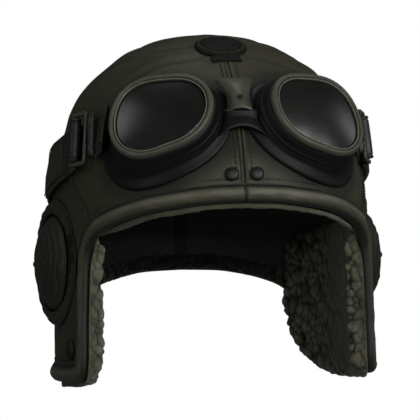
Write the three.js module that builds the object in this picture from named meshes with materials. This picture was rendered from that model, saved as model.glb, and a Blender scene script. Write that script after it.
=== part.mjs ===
// A leather flying helmet with fleece-lined ear flaps, padded ear cups and goggles on a strap.
// Millimetres, +Z up. The face opening looks towards -Y and the wearer's left side is +X.
// The origin is on the head's axis, level with the lower edge of the brow.

import * as THREE from 'three';
import { mergeVertices } from 'three/addons/utils/BufferGeometryUtils.js';

// Helmet shell
const HALF_WIDTH = 94.8;
const FRONT_DEPTH = 130;
const BACK_DEPTH = 97;
const CROWN_HEIGHT = 113.5;
const FLAP_DROP = 97;
// How far the flaps and the nape stand out at the depth of FLAP_DROP
const FLAP_SPLAY = 1.9;
const NAPE_FLARE = 9.7;
const LEATHER = 2.5;
const GAP = 0.35;

// How square the sections are: 2 is an ellipse, more is boxier.
const SECTION_SQUARE = { wall: 2.25, top: 2.1 };
const CROWN_SQUARE = { side: 2.2, front: 2.05, back: 2.2 };

// Lower edge of the leather from the brow's middle to the nape's middle.
// turn: degrees round from the front, drop: share of FLAP_DROP below the brow.
const EDGE = [
  { turn: 0, drop: 0 },
  { turn: 9.5, drop: 0.005 },
  { turn: 19, drop: 0.02 },
  { turn: 31, drop: 0.043 },
  { turn: 41.3, drop: 0.078 },
  { turn: 49.6, drop: 0.122 },
  { turn: 53.2, drop: 0.165, mark: 'brow end' },
  { turn: 54.9, drop: 0.24, mark: 'flap front' },
  { turn: 56.1, drop: 0.43 },
  { turn: 57.1, drop: 0.61 },
  { turn: 57.8, drop: 0.79 },
  { turn: 58.2, drop: 0.9 },
  { turn: 59.8, drop: 0.965 },
  { turn: 64, drop: 0.995 },
  { turn: 72, drop: 1 },
  { turn: 86, drop: 1 },
  { turn: 100, drop: 0.997 },
  { turn: 110, drop: 0.965 },
  { turn: 118, drop: 0.895 },
  { turn: 123.9, drop: 0.808 },
  { turn: 128, drop: 0.711 },
  { turn: 130.3, drop: 0.62 },
  { turn: 132.2, drop: 0.52, mark: 'flap rear' },
  { turn: 135, drop: 0.435 },
  { turn: 140, drop: 0.38, mark: 'nape' },
  { turn: 146, drop: 0.34 },
  { turn: 157, drop: 0.288 },
  { turn: 168, drop: 0.256 },
  { turn: 180, drop: 0.246 },
];
const EDGE_STATIONS = 70;
// The leather is sewn from two crown panels and two side panels, a small gap apart at the seams:
// the middle seam, and a seam at one height that the strap and the goggles hide.
const PANEL_SEAM = 22;
const CROWN_GRID = { columns: 22, rows: 6 };
const SIDE_GRID = { columns: EDGE_STATIONS / 2, rows: 5 };

// Rolled leather binding that is folded round the whole lower edge
const BINDING_WIDTH = 8;
const BINDING_BULGE = 2.2;
// inset: share of BINDING_WIDTH up from the leather's edge, stand: share of BINDING_BULGE off the leather
const BINDING_PROFILE = [
  { face: 'outer', inset: 1, stand: 0 },
  { face: 'outer', inset: 0.9, stand: 0.6 },
  { face: 'outer', inset: 0.55, stand: 1 },
  { face: 'outer', inset: 0.15, stand: 0.9 },
  { face: 'outer', inset: -0.18, stand: 0.2 },
  { face: 'inner', inset: -0.18, stand: 0 },
  { face: 'inner', inset: 0.02, stand: 0.55 },
  { face: 'inner', inset: 0.35, stand: 0.55 },
  { face: 'inner', inset: 0.4, stand: 0 },
  { face: 'inner', inset: -0.05, stand: 0 },
  { face: 'outer', inset: -0.05, stand: 0 },
];

// Fleece: a lining in each flap and a trim inside the brow and the nape
const FLEECE_SETBACK = 2.1;
const FLEECE_PILE = 6.4;
const FLEECE_LOCK_DIP = 1.6;
const FLEECE_LOCKS = { along: 22, up: 4 };
const FLEECE_TRIM_PILE = 3.6;
const FLEECE_TRIM_WIDTH = 9;
const FLEECE_OVERHANG = 1.6;
const FLEECE_APART = 1.5;
// Slanting top line of the flap's lining, as shares of FLAP_DROP
const FLEECE_TOP = { front: 0.22, rear: 0.36, turnRear: 129 };
// inset: share of FLEECE_TRIM_WIDTH up from the leather's edge, pile: share of FLEECE_TRIM_PILE
const FLEECE_TRIM_PROFILE = [
  { inset: 1, pile: 0 },
  { inset: 0.9, pile: 0.7 },
  { inset: 0, pile: 1 },
];

// Ear cups: a padded ring on the flap and a domed cap inside it
const EAR_TURN = 83.8;
const EAR_BELOW_STRAP = 5.4;
const EAR_YAW = 80.4;
const EAR_RADIUS = 38;
const EAR_HEIGHT = 6.6;
const EAR_RING_WIDTH = 8;
const CAP_RADIUS = EAR_RADIUS - EAR_RING_WIDTH;
const CAP_HEIGHT = 11.6;
const EAR_SEGMENTS = 24;
// reach: share of EAR_RING_WIDTH in from the outside, rise: share of the way from the leather to EAR_HEIGHT
const EAR_RING_PROFILE = [
  { reach: 0, rise: 0 },
  { reach: -0.09, rise: 0.3 },
  { reach: 0.07, rise: 0.72 },
  { reach: 0.37, rise: 0.96 },
  { reach: 0.68, rise: 1 },
  { reach: 0.9, rise: 0.86 },
];
const EAR_RING_INSIDE = [0.7, 0];
// reach: share of CAP_RADIUS, rise: share of the way from the cap's foot to CAP_HEIGHT
const CAP_PROFILE = [
  { reach: 1, rise: 0 },
  { reach: 1, rise: 0.28 },
  { reach: 0.95, rise: 0.42 },
  { reach: 0.8, rise: 0.62 },
  { reach: 0.62, rise: 0.78 },
  { reach: 0.4, rise: 0.92 },
  { reach: 0.18, rise: 0.99 },
];
const SCREW_SPREAD = 10;
const SCREW_RADIUS = 1.8;
const SCREW_HEIGHT = 1.1;
const SCREW_SIDES = 8;

// Section of every domed stud and screw: shares of its radius and its height
const DOME_PROFILE = [
  { reach: 0, rise: 0 },
  { reach: 1, rise: 0 },
  { reach: 1, rise: 0.3 },
  { reach: 0.82, rise: 0.72 },
  { reach: 0.45, rise: 0.95 },
  { reach: 0, rise: 1 },
];

// Rivets on the brow and the snap near the foot of each flap
const RIVET_SPREAD = 7;
const RIVET_RISE = 14;
const RIVET_RADIUS = 4;
const RIVET_HEIGHT = 2.7;
const RIVET_SIDES = 14;
const SNAP_TURN = 69;
const SNAP_ABOVE_FOOT = 18.2;
const SNAP_RADIUS = 6;
const SNAP_HEIGHT = 2.8;
const SNAP_SIDES = 16;

// Plain oval leather patch on the crown, with a small tab under it
const PATCH_BELOW_TOP = 18;
const PATCH_HALF = { across: 15.3, along: 16.5 };
const PATCH_THICK = 2.2;
const PATCH_TAB = { half: 9, length: 4.6, thick: 1.6 };
const PATCH_SIDES = 20;
// reach: share of the patch's half size, stand: share of PATCH_THICK
const PATCH_PROFILE = [
  { reach: 1, stand: 0.7 },
  { reach: 0.9, stand: 1 },
  { reach: 0.76, stand: 0.75 },
  { reach: 0.6, stand: 1 },
  { reach: 0.4, stand: 0.7 },
];

// Goggles: plane of each rim, and the rim's outline as a mean radius with waves round it
const GOGGLE_SPREAD = 44;
const GOGGLE_RISE = 47;
const RIM_STAND = 13.6;
const RIM_YAW = 24;
const RIM_PITCH = 20;
const RIM_RADIUS = 27.6;
// One row for each wave round the rim, as shares of RIM_RADIUS
const RIM_WAVES = [
  { order: 1, cos: 0.031, sin: 0.051 },
  { order: 2, cos: 0.087, sin: -0.064 },
  { order: 3, cos: -0.028, sin: 0.011 },
  { order: 4, cos: -0.022, sin: 0 },
];
const RIM_WIDTH = 4;
const RIM_DEPTH = 3.8;
// reach: share of RIM_WIDTH in from the outline, rise: share of RIM_DEPTH
const RIM_PROFILE = [
  { reach: 0, rise: 0.1 },
  { reach: -0.08, rise: 0.5 },
  { reach: 0.15, rise: 0.9 },
  { reach: 0.5, rise: 1 },
  { reach: 0.85, rise: 0.75 },
  { reach: 1, rise: 0.2 },
  { reach: 0.5, rise: 0 },
];
const RIM_SEGMENTS = 30;
const LENS_THICK = 1.8;
const LENS_DOME = 3;
const LENS_SEAT = 0.8;
// Rings of the lens, as shares of its outline's radius
const LENS_RINGS = { back: [0, 0.55, 1], front: [1, 0.8, 0.55, 0.28, 0] };
const FLANGE_REACH = 9;
const FLANGE_MORE = { below: 2.5, outside: 1.5 };
const FLANGE_THICK = 2.4;
const CUP_WALL = 5;
// reach: share of the flange's reach outside the rim, wall: share of CUP_WALL inside the rim,
// lip: share of FLANGE_THICK, rise: share of the way from the leather to the rim
const CUP_PROFILE = [
  { reach: 0, wall: 1, lip: 0, rise: 0 },
  { reach: 0.5, wall: 0, lip: 0, rise: 0 },
  { reach: 1, wall: 0, lip: 0, rise: 0 },
  { reach: 0.97, wall: 0, lip: 0.8, rise: 0 },
  { reach: 0.55, wall: 0, lip: 1.1, rise: 0.06 },
  { reach: 0.34, wall: 0, lip: 0.9, rise: 0.3 },
  { reach: 0.1, wall: 0, lip: 0, rise: 0.85 },
  { reach: 0, wall: 0.1, lip: 0, rise: 1 },
  { reach: 0, wall: 0.9, lip: 0, rise: 1 },
];

// Metal bridge between the rims, with the rubber nose band under it
const NOSE_SPACE = GOGGLE_SPREAD - RIM_RADIUS;
const BRIDGE_THICK = 2.4;
const BRIDGE_SWEEP = 4.5;
const NOSE_SWEEP = 1.5;
const BRIDGE_STAND = 11;
// above: share of RIM_RADIUS over the rims' middle, half: share of NOSE_SPACE,
// stand: share of BRIDGE_STAND off the leather
const BRIDGE_ROWS = [
  { above: 0.87, half: 0.68, stand: 0.62 },
  { above: 0.69, half: 0.55, stand: 0.9 },
  { above: 0.47, half: 0.45, stand: 1 },
  { above: 0.29, half: 0.47, stand: 1 },
  { above: 0.145, half: 0.55, stand: 0.98 },
];
const NOSE_ROWS = [
  { above: 0.125, half: 0.6, stand: 0.86 },
  { above: -0.035, half: 0.53, stand: 0.74 },
  { above: -0.145, half: 0.56, stand: 0.74 },
  { above: -0.235, half: 0.6, stand: 0.68 },
];
const NOSE_THICK = 3;
const BRIDGE_RIVET = { above: 0.38, radius: 1.7, height: 0.9 };

// Strap of the goggles, its buckles, rollers, sleeves and the tabs on the cups
const STRAP_WIDTH = 25;
const STRAP_THICK = 2.1;
const STRAP_STAND = 0.5;
const STRAP_FALL = 6.6;
// Turns between which the doubled part of the strap thins to one layer
const STRAP_DOUBLE = { to: 92, gone: 96 };
// rise: share of the buckle's height over the brow
const STRAP_PATH = [
  { turn: 60, rise: 0.99 },
  { turn: 70, rise: 0.843 },
  { turn: 80, rise: 0.747 },
  { turn: 100, rise: 0.59 },
  { turn: 135, rise: 0.42 },
  { turn: 180, rise: 0.337 },
];
const BUCKLE_WIDTH = 17;
const BUCKLE_BAR = 2.6;
const BUCKLE_PLAY = 0.65;
const BUCKLE_THICK = 2.5;
const BUCKLE_STAND = 2.4;
const ROLLER_RADIUS = 2.7;
const TAB_LENGTH = 12.2;
const TAB_THICK = 2.2;
const TAB_NARROWER = 1;
const TAB_STAND = { cup: 4.3, buckle: 1.7 };
const TAB_FALL = { cup: 1.4, buckle: 5.4 };
const TAB_ON_FLANGE = 0.62;
const SLEEVE_WIDTH = 5;
const SLEEVE_BULGE = 2.8;
const SLEEVE_FROM_CUP = 8.7;

// Colours and finish from the object
const FINISH = {
  leather: { color: 0x3b3c33, roughness: 0.62, metalness: 0 },
  binding: { color: 0x44443b, roughness: 0.5, metalness: 0 },
  fleece: { color: 0x5a5a49, roughness: 0.95, metalness: 0 },
  ear: { color: 0x2c2c27, roughness: 0.6, metalness: 0 },
  rim: { color: 0x55544a, roughness: 0.42, metalness: 0.7 },
  rubber: { color: 0x1d1d1d, roughness: 0.45, metalness: 0 },
  glass: { color: 0x2b2b29, roughness: 0.12, metalness: 0 },
  strap: { color: 0x33332b, roughness: 0.7, metalness: 0 },
  steel: { color: 0x6b6a66, roughness: 0.3, metalness: 0.85 },
};

const radians = (degrees) => (degrees * Math.PI) / 180;
const degreesOf = (angle) => (angle * 180) / Math.PI;
const mix = (from, to, share) => from + (to - from) * share;
const clamp01 = (value) => Math.min(1, Math.max(0, value));
const ease = (value) => clamp01(value) ** 2 * (3 - 2 * clamp01(value));
const signedPower = (value, power) => Math.sign(value) * Math.abs(value) ** power;

// Smooth curve through rows of numbers that never swings past them.
function through(knots, values, at) {
  const last = knots.length - 1;
  const step = knots.slice(1).map((knot, i) => knot - knots[i]);
  const slope = step.map((length, i) => (values[i + 1] - values[i]) / length);
  const bend = knots.map((_, i) => {
    if (i === 0) return slope[0];
    if (i === last) return slope[last - 1];
    if (slope[i - 1] * slope[i] <= 0) return 0;
    const before = 2 * step[i] + step[i - 1];
    const after = step[i] + 2 * step[i - 1];
    return (before + after) / (before / slope[i - 1] + after / slope[i]);
  });
  let i = 0;
  while (i < last - 1 && at > knots[i + 1]) i += 1;
  const t = (at - knots[i]) / step[i];
  const rise = t * t * (3 - 2 * t);
  return mix(values[i], values[i + 1], rise)
    + step[i] * (bend[i] * t * (1 - t) ** 2 - bend[i + 1] * t * t * (1 - t));
}

// Shell surface: a rounded section at each height, drawn in towards the crown.
function crownSquare(turn) {
  const facing = Math.cos(turn);
  const end = facing > 0 ? CROWN_SQUARE.front : CROWN_SQUARE.back;
  return mix(CROWN_SQUARE.side, end, facing * facing);
}

function shellSection(turn, lift, z, shrink, off) {
  const facing = Math.cos(turn);
  const square = mix(SECTION_SQUARE.wall, SECTION_SQUARE.top, ease(lift));
  const below = Math.max(0, -z) / FLAP_DROP;
  const halfWidth = HALF_WIDTH + off + FLAP_SPLAY * below;
  const depth = facing > 0 ? FRONT_DEPTH + off : BACK_DEPTH + off + NAPE_FLARE * below;
  return new THREE.Vector3(
    halfWidth * signedPower(Math.sin(turn), 2 / square) * shrink,
    -depth * signedPower(facing, 2 / square) * shrink,
    z,
  );
}

// lift runs from 0 at the brow to 1 on top of the crown, and below 0 it is a share of FLAP_DROP.
function shellByLift(turn, lift, off) {
  if (lift <= 0) return shellSection(turn, 0, lift * FLAP_DROP, 1, off);
  const square = crownSquare(turn);
  const angle = (Math.min(lift, 1) * Math.PI) / 2;
  const shrink = lift < 1 ? Math.cos(angle) ** (2 / square) : 0;
  return shellSection(turn, lift, (CROWN_HEIGHT + off) * Math.sin(angle) ** (2 / square), shrink, off);
}

function shellByHeight(turn, z, off) {
  if (z <= 0) return shellSection(turn, 0, z, 1, off);
  const square = crownSquare(turn);
  const share = Math.min(z / (CROWN_HEIGHT + off), 1) ** square;
  const lift = Math.asin(Math.sqrt(share)) / (Math.PI / 2);
  return shellSection(turn, lift, z, (1 - share) ** (1 / square), off);
}

// A flat frame of reference: origin, across, up and outward normal.
function frameAt(origin, normal) {
  const across = new THREE.Vector3(-normal.y, normal.x, 0).normalize();
  const up = new THREE.Vector3().crossVectors(normal, across);
  return { origin, across, up, normal };
}

function slopes(turn, z, off) {
  const h = 1e-3;
  const round = shellByHeight(turn + h, z, off).sub(shellByHeight(turn - h, z, off)).divideScalar(2 * h);
  const rise = shellByHeight(turn, z + h, off).sub(shellByHeight(turn, z - h, off)).divideScalar(2 * h);
  return { round, rise };
}

function seatOnShell(turn, z) {
  const { round, rise } = slopes(turn, z, 0);
  const normal = new THREE.Vector3().crossVectors(round, rise).normalize();
  return frameAt(shellByHeight(turn, z, 0), normal);
}

function frameTurned(origin, yawDegrees, pitchDegrees) {
  const yaw = radians(yawDegrees);
  const pitch = radians(pitchDegrees);
  const normal = new THREE.Vector3(
    Math.sin(yaw) * Math.cos(pitch),
    -Math.cos(yaw) * Math.cos(pitch),
    Math.sin(pitch),
  );
  return frameAt(origin, normal);
}

function inFrame(frame, across, up, out) {
  return frame.origin.clone()
    .addScaledVector(frame.across, across)
    .addScaledVector(frame.up, up)
    .addScaledVector(frame.normal, out);
}

// Spot of the surface, off the leather by off, that lies behind a place of a frame.
function spotBehind(frame, across, up, off, startTurn, startZ) {
  let turn = startTurn;
  let z = startZ;
  const wanted = inFrame(frame, across, up, 0);
  for (let round = 0; round < 30; round += 1) {
    const miss = wanted.clone().sub(shellByHeight(turn, z, off));
    const missAcross = miss.dot(frame.across);
    const missUp = miss.dot(frame.up);
    const slope = slopes(turn, z, off);
    const a = slope.round.dot(frame.across);
    const b = slope.rise.dot(frame.across);
    const c = slope.round.dot(frame.up);
    const d = slope.rise.dot(frame.up);
    const det = a * d - b * c;
    const limit = (value, most) => Math.min(most, Math.max(-most, value));
    turn += limit((missAcross * d - missUp * b) / det, 0.2);
    z += limit((missUp * a - missAcross * c) / det, 12);
    z = Math.min(z, CROWN_HEIGHT - 1);
  }
  return { turn, z, point: shellByHeight(turn, z, off) };
}

function behind(...place) {
  return spotBehind(...place).point;
}

// Lower edge: u from 0 at the brow to 1 at the nape, and negative on the wearer's right.
const edgeKnots = EDGE.reduce((knots, row, i) => {
  if (i === 0) return [0];
  const here = shellByHeight(radians(row.turn), -row.drop * FLAP_DROP, 0);
  const before = shellByHeight(radians(EDGE[i - 1].turn), -EDGE[i - 1].drop * FLAP_DROP, 0);
  return [...knots, knots[i - 1] + here.distanceTo(before)];
}, []);
const edgeLength = edgeKnots[edgeKnots.length - 1];
const edgeShares = edgeKnots.map((knot) => knot / edgeLength);
const edgeTurns = EDGE.map((row) => row.turn);
const edgeDrops = EDGE.map((row) => row.drop);
const shareOf = (mark) => edgeShares[EDGE.findIndex((row) => row.mark === mark)];

function edgeAt(u) {
  const wrapped = u > 1 ? u - 2 : u;
  const share = Math.abs(wrapped);
  const turn = radians(through(edgeShares, edgeTurns, share)) * (wrapped < 0 ? -1 : 1);
  return { turn, z: -through(edgeShares, edgeDrops, share) * FLAP_DROP };
}

// Point near the edge: inset millimetres up into the leather along the surface, off it by off.
function nearEdge(u, inset, off) {
  const h = 0.004;
  const { turn, z } = edgeAt(u);
  const ahead = edgeAt(Math.min(u + h, 2 - 1e-9));
  const back = edgeAt(u - h);
  const along = shellByHeight(ahead.turn, ahead.z, 0).sub(shellByHeight(back.turn, back.z, 0));
  const { round, rise } = slopes(turn, z, 0);
  const normal = new THREE.Vector3().crossVectors(round, rise).normalize();
  const inward = new THREE.Vector3().crossVectors(normal, along).normalize();
  const rr = round.dot(round);
  const rz = round.dot(rise);
  const zz = rise.dot(rise);
  const det = rr * zz - rz * rz;
  const byRound = inward.dot(round);
  const byRise = inward.dot(rise);
  const turnStep = (byRound * zz - byRise * rz) / det;
  const riseStep = (byRise * rr - byRound * rz) / det;
  return shellByHeight(turn + inset * turnStep, z + inset * riseStep, off);
}

// Closed body from loops of points: ends is loop, pole or ladder.
function bodyOfLoops(loops, ends) {
  const size = loops[0].length;
  const faces = [];
  const quad = (a, b, c, d) => faces.push(a, b, c, a, c, d);
  const count = ends === 'loop' ? loops.length : loops.length - 1;
  for (let i = 0; i < count; i += 1) {
    const next = (i + 1) % loops.length;
    for (let k = 0; k < size; k += 1) {
      const after = (k + 1) % size;
      quad([i, k], [i, after], [next, after], [next, k]);
    }
  }
  if (ends === 'ladder') {
    const last = loops.length - 1;
    for (let k = 0; k < size / 2 - 1; k += 1) {
      quad([0, k], [0, size - 1 - k], [0, size - 2 - k], [0, k + 1]);
      quad([last, k], [last, k + 1], [last, size - 2 - k], [last, size - 1 - k]);
    }
  }
  const numbers = faces.flatMap(([i, k]) => loops[i][k].toArray());
  return closedGeometry(new THREE.BufferGeometry()
    .setAttribute('position', new THREE.Float32BufferAttribute(numbers, 3)));
}

// Welds the corners, drops empty triangles and turns the faces outward.
function closedGeometry(source) {
  const plain = source.index ? source.toNonIndexed() : source.clone();
  plain.deleteAttribute('normal');
  plain.deleteAttribute('uv');
  const welded = mergeVertices(plain, 1e-4);
  const position = welded.attributes.position;
  const index = [];
  let volume = 0;
  const [a, b, c] = [new THREE.Vector3(), new THREE.Vector3(), new THREE.Vector3()];
  for (let i = 0; i < welded.index.count; i += 3) {
    const corner = [0, 1, 2].map((k) => welded.index.getX(i + k));
    if (new Set(corner).size === 3) {
      index.push(...corner);
      a.fromBufferAttribute(position, corner[0]);
      b.fromBufferAttribute(position, corner[1]);
      c.fromBufferAttribute(position, corner[2]);
      volume += a.dot(b.cross(c));
    }
  }
  welded.setIndex(volume < 0 ? index.reverse() : index);
  welded.computeVertexNormals();
  return welded;
}

function lathe(profile, segments) {
  const points = profile.map(([radius, height]) => new THREE.Vector2(radius, height));
  const geometry = new THREE.LatheGeometry(points, segments);
  return closedGeometry(geometry.rotateX(Math.PI / 2));
}

function mirrored(geometry) {
  return closedGeometry(geometry.clone().scale(-1, 1, 1));
}

const helmet = new THREE.Group();

function addPiece(name, geometry, finish) {
  const material = new THREE.MeshStandardMaterial(FINISH[finish]);
  const mesh = new THREE.Mesh(geometry, material);
  mesh.name = name;
  helmet.add(mesh);
  return mesh;
}

function addPair(name, geometry, finish) {
  addPiece(`${name}_left`, geometry, finish);
  addPiece(`${name}_right`, mirrored(geometry), finish);
}

// Sets a piece on a frame, with its own axes along the frame's across, up and normal.
function placeOn(mesh, frame, across, up, out) {
  mesh.position.copy(inFrame(frame, across, up, out));
  mesh.quaternion.setFromRotationMatrix(
    new THREE.Matrix4().makeBasis(frame.across, frame.up, frame.normal),
  );
}

function range(count, make) {
  return Array.from({ length: count }, (_, i) => make(i));
}

// Lift at which the leather reaches a height
function liftAt(turn, z) {
  return Math.asin(Math.sqrt((z / CROWN_HEIGHT) ** crownSquare(turn))) / (Math.PI / 2);
}

// Left panel of the leather: each column runs up its outside and back down its inside.
function panelGeometry({ columns, rows }, limits) {
  const loops = range(columns + 1, (i) => {
    const u = i / columns;
    const { turn, z } = edgeAt(u);
    const [low, high] = limits(turn, z);
    const at = (share, off) => {
      const lift = mix(low, high, share);
      const point = shellByLift(mix(turn, u * Math.PI, ease(lift)), lift, off);
      return point.setX(Math.max(point.x, GAP / 2));
    };
    const outside = range(rows + 1, (k) => at(k / rows, 0));
    const inside = range(rows + 1, (k) => at(1 - k / rows, -LEATHER));
    return [...outside, ...inside];
  });
  return bodyOfLoops(loops, 'ladder');
}

// Crown, brow, flaps and nape
function addLeather() {
  const crown = (turn) => [liftAt(turn, PANEL_SEAM + GAP / 2), 1];
  const side = (turn, z) => [z / FLAP_DROP, liftAt(turn, PANEL_SEAM - GAP / 2)];
  addPair('leather_crown', panelGeometry(CROWN_GRID, crown), 'leather');
  addPair('leather_side', panelGeometry(SIDE_GRID, side), 'leather');
}

function bindingGeometry() {
  const loops = range(EDGE_STATIONS, (i) => {
    const u = -1 + (2 * (i + 1)) / EDGE_STATIONS;
    return BINDING_PROFILE.map(({ face, inset, stand }) => {
      const height = GAP + stand * BINDING_BULGE;
      const off = face === 'outer' ? height : -LEATHER - height;
      return nearEdge(u, inset * BINDING_WIDTH, off);
    });
  });
  return bodyOfLoops(loops, 'loop');
}

// Fleece lining of one flap, between the flap's edge and a slanting line across its top.
// Its pile rises and dips from lock to lock.
function flapFleeceGeometry() {
  const { along, up } = FLEECE_LOCKS;
  const front = shareOf('flap front');
  const rear = shareOf('flap rear');
  const start = edgeAt(front);
  const back = -LEATHER - FLEECE_SETBACK;
  const loops = range(along + 1, (i) => {
    const share = i / along;
    const low = edgeAt(mix(front, rear, share));
    const topTurn = mix(start.turn, radians(FLEECE_TOP.turnRear), share);
    const topZ = -mix(FLEECE_TOP.front, FLEECE_TOP.rear, share) * FLAP_DROP;
    const at = (k, off) => shellByHeight(mix(low.turn, topTurn, k / up), mix(low.z, topZ, k / up), off);
    const pile = (k) => FLEECE_PILE - FLEECE_LOCK_DIP * ((i + k) % 2);
    const outside = range(up + 1, (k) => at(k, back));
    const inside = range(up + 1, (k) => at(up - k, back - pile(up - k)));
    return [...outside, ...inside];
  });
  return bodyOfLoops(loops, 'ladder');
}

function fleeceTrimGeometry(from, to) {
  const stations = 24;
  const back = -LEATHER - FLEECE_SETBACK;
  const loops = range(stations + 1, (i) => {
    const u = mix(from, to, i / stations);
    const pile = FLEECE_TRIM_PROFILE.map(({ inset, pile }) => (
      nearEdge(u, inset * FLEECE_TRIM_WIDTH, back - pile * FLEECE_TRIM_PILE)));
    return [nearEdge(u, -FLEECE_OVERHANG, back), ...pile];
  });
  return bodyOfLoops(loops, 'ladder');
}

function addFleece() {
  const apart = FLEECE_APART / edgeLength;
  const brow = shareOf('brow end') - apart;
  const nape = shareOf('nape') + apart;
  addPair('fleece_flap', flapFleeceGeometry(), 'fleece');
  addPiece('fleece_brow_trim', fleeceTrimGeometry(-brow, brow), 'fleece');
  addPiece('fleece_nape_trim', fleeceTrimGeometry(nape, 2 - nape), 'fleece');
}

const buckleRise = GOGGLE_RISE - STRAP_FALL;

// Height of the strap's middle at a turn in degrees from the front
function strapHeight(degrees) {
  const turns = STRAP_PATH.map((row) => row.turn);
  const rises = STRAP_PATH.map((row) => row.rise);
  return through(turns, rises, Math.min(degrees, 360 - degrees)) * buckleRise;
}

const sides = [
  { name: 'left', side: 1 },
  { name: 'right', side: -1 },
];

const earZ = strapHeight(EAR_TURN) - STRAP_WIDTH / 2 - EAR_BELOW_STRAP - EAR_RADIUS;

function earFrame(side) {
  const origin = shellByHeight(radians(EAR_TURN) * side, earZ, 0);
  return frameTurned(origin, EAR_YAW * side, 0);
}

// Place on the ear frame at an angle and a distance, with the leather's height under it
function earSpot(frame, angle, distance) {
  const across = Math.cos(angle) * distance;
  const up = Math.sin(angle) * distance;
  const seat = behind(frame, across, up, GAP, radians(EAR_TURN), earZ);
  return { across, up, seat: seat.sub(frame.origin).dot(frame.normal) };
}

// Height of the cap's dome over the ear frame at a distance from its middle
function capHeightAt(foot, radius) {
  const rows = [...CAP_PROFILE].reverse().slice(0, -1);
  const reach = [0, ...rows.map((row) => row.reach * CAP_RADIUS)];
  const rise = [1, ...rows.map((row) => row.rise)];
  return mix(foot, CAP_HEIGHT, through(reach, rise, radius));
}

function addEarCups() {
  const frame = earFrame(1);
  const angles = range(EAR_SEGMENTS, (i) => (i / EAR_SEGMENTS) * Math.PI * 2);
  const loops = angles.map((angle) => {
    const outline = EAR_RING_PROFILE.map(({ reach, rise }) => {
      const { across, up, seat } = earSpot(frame, angle, EAR_RADIUS - reach * EAR_RING_WIDTH);
      return inFrame(frame, across, up, mix(seat, EAR_HEIGHT, rise));
    });
    const { across, up, seat } = earSpot(frame, angle, CAP_RADIUS + GAP);
    const inside = EAR_RING_INSIDE.map((rise) => inFrame(frame, across, up, mix(seat, EAR_HEIGHT, rise)));
    return [...outline, ...inside];
  });
  addPair('ear_cup_ring', bodyOfLoops(loops, 'loop'), 'ear');

  const foot = Math.max(...angles.map((angle) => earSpot(frame, angle, CAP_RADIUS).seat)) + GAP;
  const dome = CAP_PROFILE.map(({ reach, rise }) => [reach * CAP_RADIUS, mix(foot, CAP_HEIGHT, rise)]);
  const capProfile = [[0, foot], ...dome, [0, CAP_HEIGHT]];
  const screwSeat = capHeightAt(foot, SCREW_SPREAD - SCREW_RADIUS) + GAP;
  sides.forEach(({ name, side }) => {
    const here = earFrame(side);
    placeOn(addPiece(`ear_cup_cap_${name}`, lathe(capProfile, EAR_SEGMENTS), 'ear'), here, 0, 0, 0);
    [{ end: 'front', way: -1 }, { end: 'rear', way: 1 }].forEach(({ end, way }) => {
      const screw = addPiece(`ear_screw_${end}_${name}`, domeGeometry(SCREW_RADIUS, SCREW_HEIGHT, SCREW_SIDES), 'steel');
      placeOn(screw, here, way * side * SCREW_SPREAD, 0, screwSeat);
    });
  });
}

// Round-headed stud with a flat foot
function domeGeometry(radius, height, segments) {
  return lathe(DOME_PROFILE.map(({ reach, rise }) => [reach * radius, rise * height]), segments);
}

const frontFrame = frameTurned(new THREE.Vector3(), 0, 0);

function addStuds() {
  const snapZ = SNAP_ABOVE_FOOT - FLAP_DROP;
  sides.forEach(({ name, side }) => {
    const { turn } = spotBehind(frontFrame, RIVET_SPREAD * side, RIVET_RISE, 0, 0.1 * side, RIVET_RISE);
    const rivet = addPiece(`brow_rivet_${name}`, domeGeometry(RIVET_RADIUS, RIVET_HEIGHT, RIVET_SIDES), 'steel');
    placeOn(rivet, seatOnShell(turn, RIVET_RISE), 0, 0, GAP);
    const snap = addPiece(`flap_snap_${name}`, domeGeometry(SNAP_RADIUS, SNAP_HEIGHT, SNAP_SIDES), 'steel');
    placeOn(snap, seatOnShell(radians(SNAP_TURN) * side, snapZ), 0, 0, GAP);
  });
}

function addPatch() {
  const patchZ = CROWN_HEIGHT - PATCH_BELOW_TOP;
  const frame = seatOnShell(0, patchZ);
  const ring = (reach, off) => range(PATCH_SIDES, (i) => {
    const angle = (i / PATCH_SIDES) * Math.PI * 2;
    const across = Math.cos(angle) * reach * PATCH_HALF.across;
    const up = Math.sin(angle) * reach * PATCH_HALF.along;
    return behind(frame, across, up, off, 1e-3, patchZ);
  });
  const rows = PATCH_PROFILE.map(({ reach, stand }) => ring(reach, GAP + stand * PATCH_THICK));
  const under = [0, 0.5, 1].map((reach) => ring(reach, GAP));
  addPiece('crown_patch', bodyOfLoops([...under, ...rows, ring(0, GAP + PATCH_THICK)], 'pole'), 'strap');

  const top = -PATCH_HALF.along - GAP;
  const column = (share) => {
    const across = mix(-PATCH_TAB.half, PATCH_TAB.half, share);
    const at = (drop, off) => behind(frame, across, top - drop * PATCH_TAB.length, off, 1e-3, patchZ);
    return [at(0, GAP), at(1, GAP), at(1, GAP + PATCH_TAB.thick), at(0, GAP + PATCH_TAB.thick)];
  };
  addPiece('patch_tab', bodyOfLoops(range(5, (i) => column(i / 4)), 'ladder'), 'strap');
}

// Rim's outline: its radius at an angle that runs from the outer side up over the brow
function rimRadius(angle) {
  return RIM_WAVES.reduce(
    (sum, { order, cos, sin }) => sum
      + RIM_RADIUS * (cos * Math.cos(order * angle) + sin * Math.sin(order * angle)),
    RIM_RADIUS,
  );
}

// Spot of the leather straight behind the middle of a rim
const rimSpot = spotBehind(frontFrame, GOGGLE_SPREAD, GOGGLE_RISE, 0, 0.4, GOGGLE_RISE);

function rimFrame() {
  const origin = rimSpot.point.clone().add(new THREE.Vector3(0, -RIM_STAND, 0));
  return frameTurned(origin, RIM_YAW, RIM_PITCH);
}

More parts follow.
